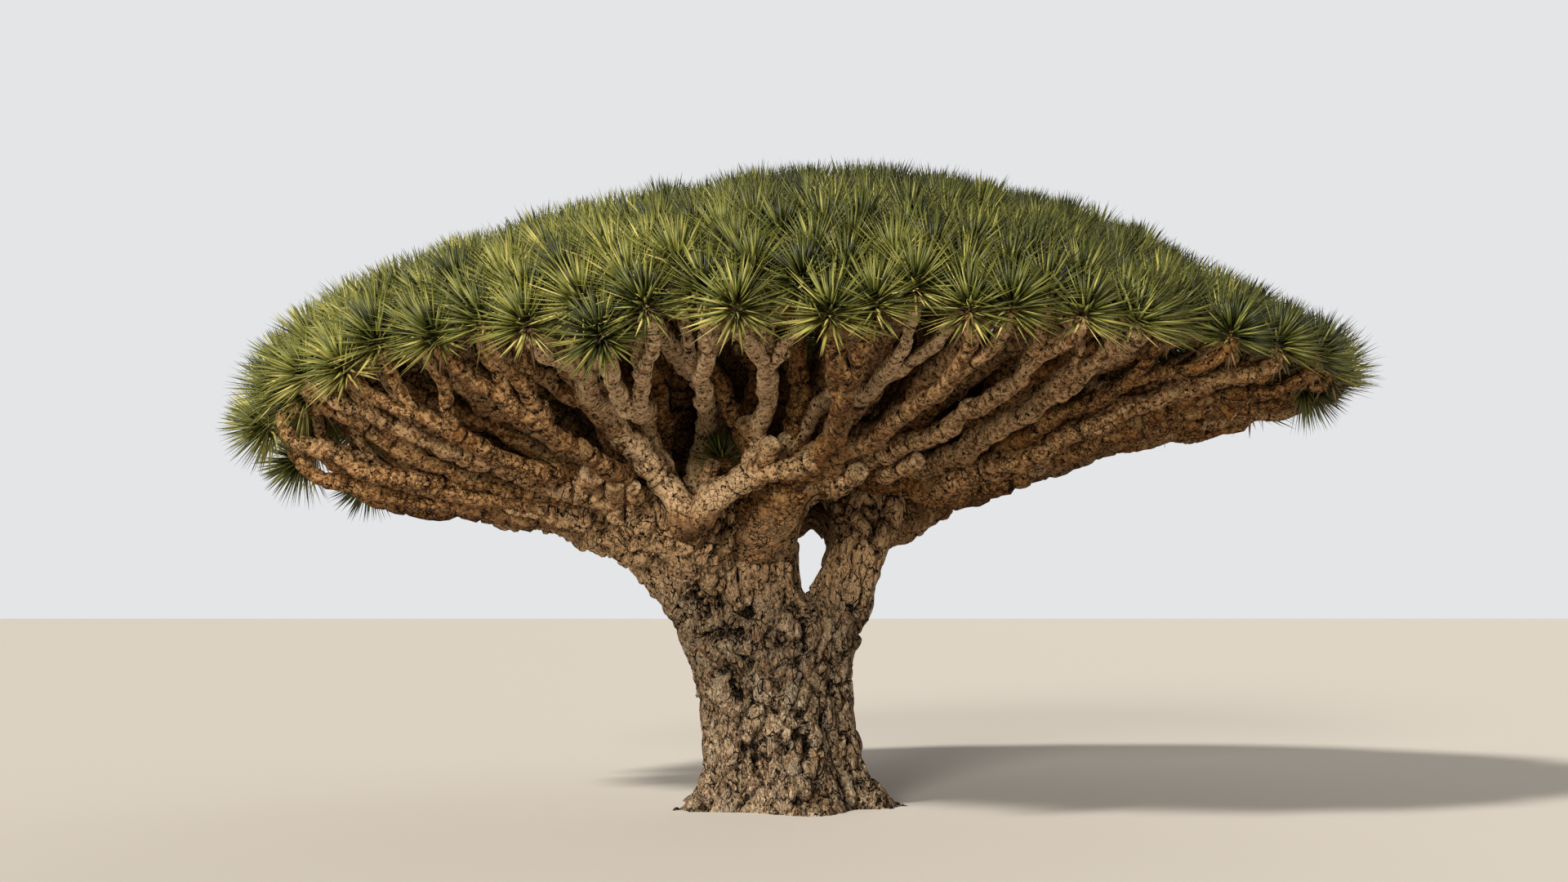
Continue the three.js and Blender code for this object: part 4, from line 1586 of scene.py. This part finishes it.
@dataclass
class Relief:
    """Remeshes a joined form and gives it bark's lumps, plates and holes."""

    voxel: float
    lump: float = 0.120
    plate: float = 0.034
    rough: float = 0.036
    stretch: float = 1.6
    lump_size: float = 0.26
    plate_size: float = 0.17
    rough_size: float = 0.065
    pocket_ripple: float = 0.06
    pocket_wander: float = 0.02
    full_pocket: float = 0.06
    slot_centre: Span = (0.225, 2.000)
    slot_reach: Span = (0.165, 0.520)
    slot_slant: float = 0.16
    slot_power: float = 0.42

    def displace(self, target: Piece, kind: str, settings: dict, size: float, strength: float,
                 middle: float = 0.5) -> None:
        """Moves a mesh in and out by a texture that is stretched upright.

        Args:
            target: the object to shape.
            kind: the texture's type.
            settings: its other settings.
            size: the width of its pattern in metres.
            strength: the depth from black to white, in metres.
            middle: the texture's value that moves nothing.
        """
        texture = bpy.data.textures.new("relief", kind)
        configure(texture, {**settings, "noise_scale": size})
        guide = bpy.data.objects.new("guide", None)
        bpy.context.collection.objects.link(guide)
        guide.scale = (1, 1, self.stretch)
        bpy.context.view_layer.update()
        apply(target, "DISPLACE", {
            "texture": texture, "texture_coords": "OBJECT", "texture_coords_object": guide,
            "strength": strength, "mid_level": middle})
        bpy.data.textures.remove(texture)
        bpy.data.objects.remove(guide)

    def remesh(self, target: Piece) -> None:
        """Joins everything in the mesh into one skin and eases its corners.

        Args:
            target: the object to shape.
        """
        activate(target)
        apply(target, "REMESH", {"mode": "VOXEL", "voxel_size": self.voxel})
        apply(target, "SMOOTH", {"factor": 0.5, "iterations": 5})

    def carve(self, target: Piece) -> None:
        """Adds lumps, plates and roughness, and keeps their depth as the number relief.

        Args:
            target: the object to shape.
        """
        activate(target)
        self.displace(target, "CLOUDS", CLOUDS, self.lump_size, self.lump)
        before, normals = read_points(target)
        self.displace(target, "DISTORTED_NOISE", CRACKLE, self.plate_size, self.plate, 0.75)
        self.displace(target, "CLOUDS", CLOUDS, self.rough_size, self.rough)
        apply(target, "SMOOTH", {"factor": 0.4, "iterations": 2})
        after, _ = read_points(target)
        depth = np.sum((after - before) * normals, axis=1)
        low, high = np.percentile(depth, (1, 99))
        keep_mark(target.data, "relief", np.clip((depth - low) / (high - low), 0, 1))

    def hollow(self, target: Piece, pockets: tuple) -> None:
        """Sinks holes and clefts into the front, and keeps their depth as the number hollow.

        Args:
            target: the object to shape.
            pockets: for each one, two ends across and up, a radius and a depth.
        """
        places, normals = read_points(target)
        front = (places[:, 1] < 0) & (normals[:, 1] < 0.15)
        steps = [ripple(places, self.pocket_ripple, SEED + seed) for seed in (20, 21)]
        flat = places[:, [0, 2]] + self.pocket_wander * np.stack(steps, axis=-1)
        sunk = np.zeros(len(places))
        for start, end, radius, depth in pockets:
            line = np.array(end) - np.array(start)
            share = np.clip((flat - start) @ line / max(float(line @ line), 1e-6), 0, 1)
            away = np.linalg.norm(flat - (np.array(start) + share[:, None] * line), axis=1)
            sunk = np.maximum(sunk, depth * np.exp(-((away / radius) ** 2)) * front)
        move_points(target, places - normals * sunk[:, None])
        keep_mark(target.data, "hollow", np.clip(sunk / self.full_pocket, 0, 1))

    def widen(self, target: Piece) -> None:
        """Widens the upright slot that runs from front to back. A power under 1 spreads the mesh.

        Args:
            target: the object to shape.
        """
        places, _ = read_points(target)
        lean = self.slot_slant * (places[:, 2] - self.slot_centre[1])
        places[:, 0] -= lean
        flat = (places[:, [0, 2]] - self.slot_centre) / self.slot_reach
        share = np.maximum(np.linalg.norm(flat, axis=1), 0.05)
        flat = flat * np.where(share < 1, share**self.slot_power / share, 1)[:, None]
        places[:, [0, 2]] = flat * self.slot_reach + self.slot_centre
        places[:, 0] += lean
        move_points(target, places)


@dataclass
class Trunk:
    """The barrel with its roots and burls, and the second stem beside it."""

    crown: Crown
    boughs: list
    rings: tuple = (
        (-0.06, 0.0, 0.830),
        (0.0, 0.0, 0.790),
        (0.110, 0.0, 0.700),
        (0.300, -0.040, 0.620),
        (0.560, -0.075, 0.585),
        (0.850, -0.095, 0.590),
        (1.120, -0.110, 0.625),
        (1.330, -0.130, 0.690),
        (1.480, -0.190, 0.720),
        (1.640, -0.400, 0.650),
        (1.830, -0.530, 0.640),
        (2.030, -0.550, 0.680),
        (2.220, -0.490, 0.630),
        (2.360, -0.470, 0.420),
    )
    sides: int = 44
    depth_share: float = 0.93
    stem: tuple = ((0.240, 0.060, 1.180), (0.420, 0.070, 1.600), (0.560, 0.130, 2.000), (0.720, 0.210, 2.420))
    stem_radii: tuple = (0.275, 0.262, 0.248, 0.235)
    roots: int = 5
    root_swell: float = 0.17
    root_height: float = 0.330
    root_turn: float = 0.4
    wave: float = 0.035
    burls: int = 40
    burl_heights: Span = (0.05, 2.0)
    burl_sizes: Span = (0.07, 0.15)
    burl_tallness: Span = (0.7, 1.5)
    burl_sunk: float = 0.68
    pockets: tuple = (
        ((0.08, 1.60), (0.20, 1.50), 0.050, 0.12),
        ((-0.98, 1.94), (-0.94, 1.90), 0.030, 0.07),
        ((-0.72, 1.66), (-0.66, 1.56), 0.060, 0.11),
        ((-0.50, 1.61), (-0.50, 1.58), 0.025, 0.06),
        ((-0.36, 1.53), (-0.24, 1.52), 0.035, 0.06),
        ((-0.34, 1.37), (-0.30, 1.35), 0.040, 0.08),
        ((-0.13, 1.32), (-0.10, 1.18), 0.022, 0.05),
        ((-0.46, 1.40), (-0.56, 1.30), 0.030, 0.05),
        ((0.10, 1.28), (0.24, 1.22), 0.028, 0.05),
        ((-0.38, 0.96), (-0.34, 0.88), 0.034, 0.07),
        ((0.53, 1.36), (0.53, 1.30), 0.035, 0.06),
        ((0.38, 1.04), (0.37, 0.90), 0.030, 0.06),
        ((0.13, 0.72), (0.16, 0.60), 0.034, 0.09),
        ((0.16, 0.60), (0.20, 0.42), 0.024, 0.07),
        ((-0.06, 0.54), (0.02, 0.50), 0.030, 0.05),
        ((-0.24, 0.44), (-0.20, 0.30), 0.018, 0.04),
        ((0.60, 0.20), (0.68, 0.16), 0.040, 0.08),
        ((-0.57, 2.20), (-0.60, 2.00), 0.026, 0.08),
        ((-0.60, 2.00), (-0.66, 1.86), 0.022, 0.06),
        ((-0.34, 2.14), (-0.34, 1.94), 0.034, 0.09),
        ((-0.34, 1.94), (-0.18, 1.93), 0.022, 0.06),
        ((-0.10, 2.30), (-0.14, 2.12), 0.034, 0.09),
    )
    collars: tuple = (1.0, 1.0, 1.30, 1.30, 1.02, 1.05, 1.0)
    collar_share: float = 0.72
    collar_end: float = 0.80
    collar_sides: int = 18
    stem_sides: int = 20
    webs: tuple = (130, 156, 178, 200, 222)
    web_out: tuple = (0.70, 1.20, 1.55, 1.95, 2.35)
    web_radii: tuple = (0.300, 0.245, 0.185, 0.125, 0.080)
    web_sag: float = 0.20
    web_sag_out: float = 1.25
    web_sag_width: float = 0.45
    web_lift: float = 0.75
    random: Chance = field(default_factory=lambda: np.random.default_rng(SEED + 3))
    relief: Relief = field(default_factory=lambda: Relief(0.019, 0.125, 0.060, 0.050, 2.4))
    fork_foot: tuple = ((-0.50, -0.22, 1.66), (-0.64, -0.62, 1.90), (-0.70, -0.98, 2.08))
    fork_radii: tuple = (0.300, 0.230, 0.150)

    def column(self, height: float, part: int) -> float:
        """One part of the barrel's rings at a height: 1 is the centre across, 2 the radius."""
        table = np.array(self.rings)
        return float(np.interp(height, table[:, 0], table[:, part]))

    def radius_at(self, height: float, angle: float) -> float:
        """The barrel's radius, with its roots.

        Args:
            height: the height above the ground.
            angle: the angle round the barrel's middle.

        Returns:
            The radius in metres.
        """
        roots = self.root_swell * math.exp(-max(height, 0) / self.root_height)
        spread = roots * math.cos(self.roots * angle + self.root_turn)
        return self.column(height, 2) * (1 + spread + self.wave * math.sin(3 * angle + height / 0.7))

    def barrel(self) -> Piece:
        """A disc pulled up ring by ring, each ring moved and sized, then spread into roots at the foot."""
        deselect()
        height, centre, radius = self.rings[0]
        bpy.ops.mesh.primitive_circle_add(
            vertices=self.sides, radius=radius, fill_type="NGON", location=(centre, 0, height))
        barrel = bpy.context.object
        bpy.ops.object.mode_set(mode="EDIT")
        bpy.ops.mesh.select_all(action="SELECT")
        bpy.ops.transform.resize(value=(1, self.depth_share, 1), center_override=(centre, 0, height))
        for level, shift, wide in self.rings[1:]:
            bpy.ops.mesh.extrude_region_move(
                TRANSFORM_OT_translate={"value": (shift - centre, 0, level - height)})
            size = wide / radius
            bpy.ops.transform.resize(value=(size, size, 1), center_override=(shift, 0, level))
            height, centre, radius = level, shift, wide
        bpy.ops.mesh.select_all(action="SELECT")
        bpy.ops.mesh.normals_make_consistent(inside=False)
        bpy.ops.object.mode_set(mode="OBJECT")
        bpy.ops.object.transform_apply(location=True, rotation=True, scale=True)
        for vertex in barrel.data.vertices:
            x, y, z = vertex.co
            middle = self.column(z, 1)
            angle = math.atan2(y / self.depth_share, x - middle)
            share = self.radius_at(z, angle) / self.column(z, 2)
            vertex.co = (middle + (x - middle) * share, y * share, z)
        return barrel

    def burl(self) -> Piece:
        """One rounded burl, half sunk in the barrel."""
        height = self.random.uniform(*self.burl_heights)
        angle = self.random.uniform(0, TURN)
        size = self.random.uniform(*self.burl_sizes)
        out = self.radius_at(height, angle) - size * self.burl_sunk
        centre = self.column(height, 1)
        place = (centre + out * math.cos(angle), out * self.depth_share * math.sin(angle), height)
        bpy.ops.mesh.primitive_ico_sphere_add(subdivisions=2, radius=size, location=place)
        burl = bpy.context.object
        burl.scale = (1, 1, self.random.uniform(*self.burl_tallness))
        return burl

    def web(self, bearing: float) -> Limb:
        """A web that widens the barrel's top into the underside of the crown.

        Args:
            bearing: the web's angle round the crown's axis.

        Returns:
            The web as a limb.
        """
        path = []
        for out, radius in zip(self.web_out, self.web_radii):
            sag = self.web_sag * math.exp(-(((out - self.web_sag_out) / self.web_sag_width) ** 2))
            height = self.crown.underside(out, bearing) + radius * self.web_lift - sag
            path.append(self.crown.outward(bearing, out, height))
        return Limb(path, list(self.web_radii), sides=self.collar_sides)

    def solid(self, path: tuple, radii: tuple, sides: int) -> Limb:
        """A limb from places and radii."""
        return Limb([np.array(place) for place in path], list(radii), sides=sides)

    def tubes(self) -> Piece:
        """The second stem, the boughs' first lengths, the fork's foot and the webs, as closed tubes."""
        limbs = [self.solid(self.stem, self.stem_radii, self.stem_sides)]
        for collar, (path, radii) in zip(self.collars, self.boughs):
            short = path[: int(len(path) * self.collar_share)]
            wide = np.linspace(collar, self.collar_end, len(short)) * radii[: len(short)]
            limbs.append(self.solid(short, wide, self.collar_sides))
        limbs.append(self.solid(self.fork_foot, self.fork_radii, self.collar_sides))
        limbs += [self.web(math.radians(bearing)) for bearing in self.webs]
        heap = Heap()
        smooth = Bark(pinch=0.05, swell=0.03, lump=0.05, drift=0.0)
        for limb in limbs:
            smooth.add(limb, heap, self.random)
        return heap.piece("collars", [])

    def build(self, materials: list) -> Piece:
        """Joins barrel, stem, burls, webs and the boughs' collars, and gives them bark.

        Args:
            materials: the trunk's materials.

        Returns:
            The trunk with its second stem.
        """
        parts = [self.barrel()]
        parts += [self.burl() for _ in range(self.burls)]
        parts.append(self.tubes())
        activate(*parts)
        bpy.ops.object.join()
        trunk = bpy.context.object
        trunk.name = "trunk_and_stem"
        bpy.ops.object.transform_apply(location=True, rotation=True, scale=True)
        self.relief.remesh(trunk)
        self.relief.carve(trunk)
        self.relief.hollow(trunk, self.pockets)
        self.relief.widen(trunk)
        bpy.ops.object.mode_set(mode="EDIT")
        bpy.ops.mesh.select_all(action="SELECT")
        bpy.ops.mesh.bisect(plane_co=(0, 0, 0), plane_no=(0, 0, 1), use_fill=True, clear_inner=True)
        bpy.ops.object.mode_set(mode="OBJECT")
        bpy.ops.object.shade_smooth()
        clothe(trunk.data, materials)
        return trunk


@dataclass
class Boughs:
    """The six boughs and the leader, as one skin of bark."""

    boughs: list
    sides: int = 20
    bark: Bark = Bark(pinch=0.12, swell=0.06, lump=0.08, drift=0.012)
    relief: Relief = field(default_factory=lambda: Relief(0.0165, 0.07, 0.022, 0.028, 1.0))

    def build(self, materials: list) -> Piece:
        """Remeshes ringed tubes on the boughs' paths.

        Args:
            materials: the boughs' materials.

        Returns:
            The boughs as one object.
        """
        random = np.random.default_rng(SEED + 5)
        heap = Heap()
        for path, radii in self.boughs:
            self.bark.add(Limb(list(path), list(radii), sides=self.sides), heap, random)
        made = heap.piece("boughs", [])
        self.relief.remesh(made)
        self.relief.carve(made)
        self.relief.widen(made)
        bpy.ops.object.shade_smooth()
        clothe(made.data, materials)
        return made


# The stage

@dataclass(frozen=True)
class Lamp:
    """A distant light: the way it shines, watts to the square metre, its width in degrees and its colour."""

    name: str
    way: tuple
    strength: float
    softness: float
    colour: Colour

    def hang(self) -> None:
        """Adds the light to the scene."""
        bpy.ops.object.light_add(type="SUN", location=(0, 0, 8))
        lamp = bpy.context.object
        lamp.name = self.name
        lamp.data.energy = self.strength
        lamp.data.angle = math.radians(self.softness)
        lamp.data.color = self.colour
        x, y, z = self.way
        lamp.rotation_euler = (math.atan2(math.hypot(x, y), -z), 0, math.atan2(y, x) - math.pi / 2)


@dataclass(frozen=True)
class Studio:
    """A pale floor, soft lights, and a camera where the photographer stood."""

    camera_place: tuple = (0.0, -18.4, 1.6)
    tilt: float = math.radians(3.95)
    lens: float = 53.4
    floor_size: float = 400.0
    world: Colour = (0.96, 0.90, 0.82)
    world_strength: float = 0.20
    backdrop: Colour = (0.90, 0.91, 0.93)
    backdrop_strength: float = 0.86
    floor: PlainFinish = PlainFinish("floor_pale", (0.62, 0.59, 0.55), 0.9)
    lamps: tuple = (
        Lamp("key", (0.56, 0.62, -0.55), 3.95, 6.0, (1.0, 0.94, 0.84)),
        Lamp("front_fill", (0.26, 0.93, -0.22), 2.50, 12.0, (1.0, 0.92, 0.81)),
        Lamp("back_fill", (-0.30, -0.85, -0.42), 0.70, 50.0, (1.0, 0.96, 0.90)),
    )

    def lay_floor(self) -> None:
        """Adds the pale floor."""
        deselect()
        bpy.ops.mesh.primitive_plane_add(size=self.floor_size)
        floor = bpy.context.object
        floor.name = "floor"
        floor.data.materials.append(self.floor.dress())

    def light_world(self) -> None:
        """Gives the world one colour as a light and a paler one as the backdrop."""
        world = bpy.data.worlds.new("studio")
        world.use_nodes = True
        background = world.node_tree.nodes["Background"]
        seen = add_node(world.node_tree, "ShaderNodeLightPath")
        colours = {0: seen, 6: (*self.world, 1), 7: (*self.backdrop, 1)}
        colour = add_node(world.node_tree, "ShaderNodeMix", {"data_type": "RGBA"}, colours, 2)
        world.node_tree.links.new(colour.socket, background.inputs[0])
        strength = self.world_strength + seen * (self.backdrop_strength - self.world_strength)
        world.node_tree.links.new(strength.socket, background.inputs[1])
        bpy.context.scene.world = world

    def build(self) -> None:
        """Sets floor, world, lights and camera."""
        self.lay_floor()
        self.light_world()
        for lamp in self.lamps:
            lamp.hang()
        bpy.ops.object.camera_add(location=self.camera_place, rotation=(math.pi / 2 + self.tilt, 0, 0))
        camera = bpy.context.object
        camera.data.lens = self.lens
        camera.data.clip_end = 500
        bpy.context.scene.camera = camera
        bpy.context.scene.view_settings.view_transform = "Standard"


@dataclass(frozen=True)
class Tuft:
    """A small tuft on its own twig, under the front of the crown."""

    start: tuple = (-0.150, -0.760, 2.230)
    foot: tuple = (-0.330, -1.000, 2.450)
    head: tuple = (-0.470, -1.150, 2.690)
    radii: tuple = (0.062, 0.053, 0.044)
    count: int = 64
    lean: float = math.radians(82)
    size: float = 0.68

    def limb(self) -> Limb:
        """The tuft's twig."""
        path = [np.array(place) for place in (self.start, self.foot, self.head)]
        return Limb(path, list(self.radii), sides=11)

    def piece(self, leaves: Leaves, materials: list) -> Piece:
        """The tuft's leaves, in the darker greens of the shade.

        Args:
            leaves: the leaves' sizes.
            materials: the materials of the leaf tones.

        Returns:
            The leaves as one object.
        """
        random = np.random.default_rng(SEED + 13)
        head = np.array(self.head)
        axis = unit(unit(head - np.array(self.foot)) * 0.5 + UP * 0.5)
        blades, age = leaves.rosette(head, axis, self.count, self.lean, self.size, random)
        tint = np.clip(np.round(1.9 + age + random.normal(0, 0.6, len(age))), 0, 3).astype(int)
        heap = Heap()
        leaves.lay(heap, blades, tint, np.maximum(tint - 1, 0))
        return heap.piece("tuft_leaves", materials)


@dataclass
class Tree:
    """The whole tree, piece by piece."""

    crown: Crown = Crown()
    bark: Bark = Bark()
    random: Chance = field(default_factory=lambda: np.random.default_rng(SEED + 9))

    def ride(self, piece: Piece, nodes: list[str]) -> None:
        """Makes a piece ride on the tree in place of some nodes.

        Args:
            piece: the finished piece.
            nodes: the nodes that it replaces.
        """
        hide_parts(*nodes)
        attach(piece, "root")
        LOG.info("%s: %d faces in place of %d nodes", piece.name, len(piece.data.polygons), len(nodes))

    def limbs(self, name: str, limbs: list, materials: list) -> Piece:
        """Joins some limbs and twigs into one smooth piece.

        Args:
            name: the piece's name.
            limbs: the limbs and twigs.
            materials: their materials.

        Returns:
            The piece.
        """
        heap = Heap()
        for limb in limbs:
            self.bark.add(limb, heap, self.random)
        LOG.info("%s: %d triangles", name, heap.triangles())
        piece = heap.piece(name, materials)
        activate(piece)
        bpy.ops.object.shade_smooth()
        return piece

    def build(self) -> None:
        """Builds and dresses every piece."""
        rosettes = Rosettes(self.crown)
        skeleton = Skeleton(self.crown, rosettes)
        skeleton.build()
        boughs = skeleton.boughs()
        limb_bark = LimbFinish().dress()
        trunk_bark = TrunkFinish().dress()
        tones = [tone.dress() for tone in LEAF_TONES]
        self.ride(Trunk(self.crown, boughs).build([trunk_bark]), ["trunk", "stem_right"])
        names = [f"bough_{number + 1}" for number in range(6)] + ["bough_centre"]
        self.ride(Boughs(boughs).build([limb_bark]), names)
        foliage = Foliage(rosettes)
        tuft = Tuft()
        self.ride(tuft.piece(foliage.leaves, tones), ["inner_tuft"])
        skeleton.limbs[0, 8].append(tuft.limb())
        for index, ring in enumerate(RINGS):
            for number, masses in enumerate(ring.sectors()):
                grown = [limb for mass in masses for limb in skeleton.limbs[index, mass]]
                limbs = self.limbs(f"limbs_{ring.name}_{number + 1}", grown, [limb_bark])
                self.ride(limbs, ring.nodes("limb", masses))
                numbers = np.concatenate([rosettes.of(index, mass) for mass in masses])
                leaves = foliage.piece(f"leaves_{ring.name}_{number + 1}", numbers, ring, tones)
                self.ride(leaves, ring.nodes("foliage", masses))


def main() -> None:
    """Builds the tree and its stage."""
    logging.basicConfig(level=logging.INFO, format="%(name)s: %(message)s")
    Studio().build()
    Tree().build()


if __name__ == "__main__":
    main()
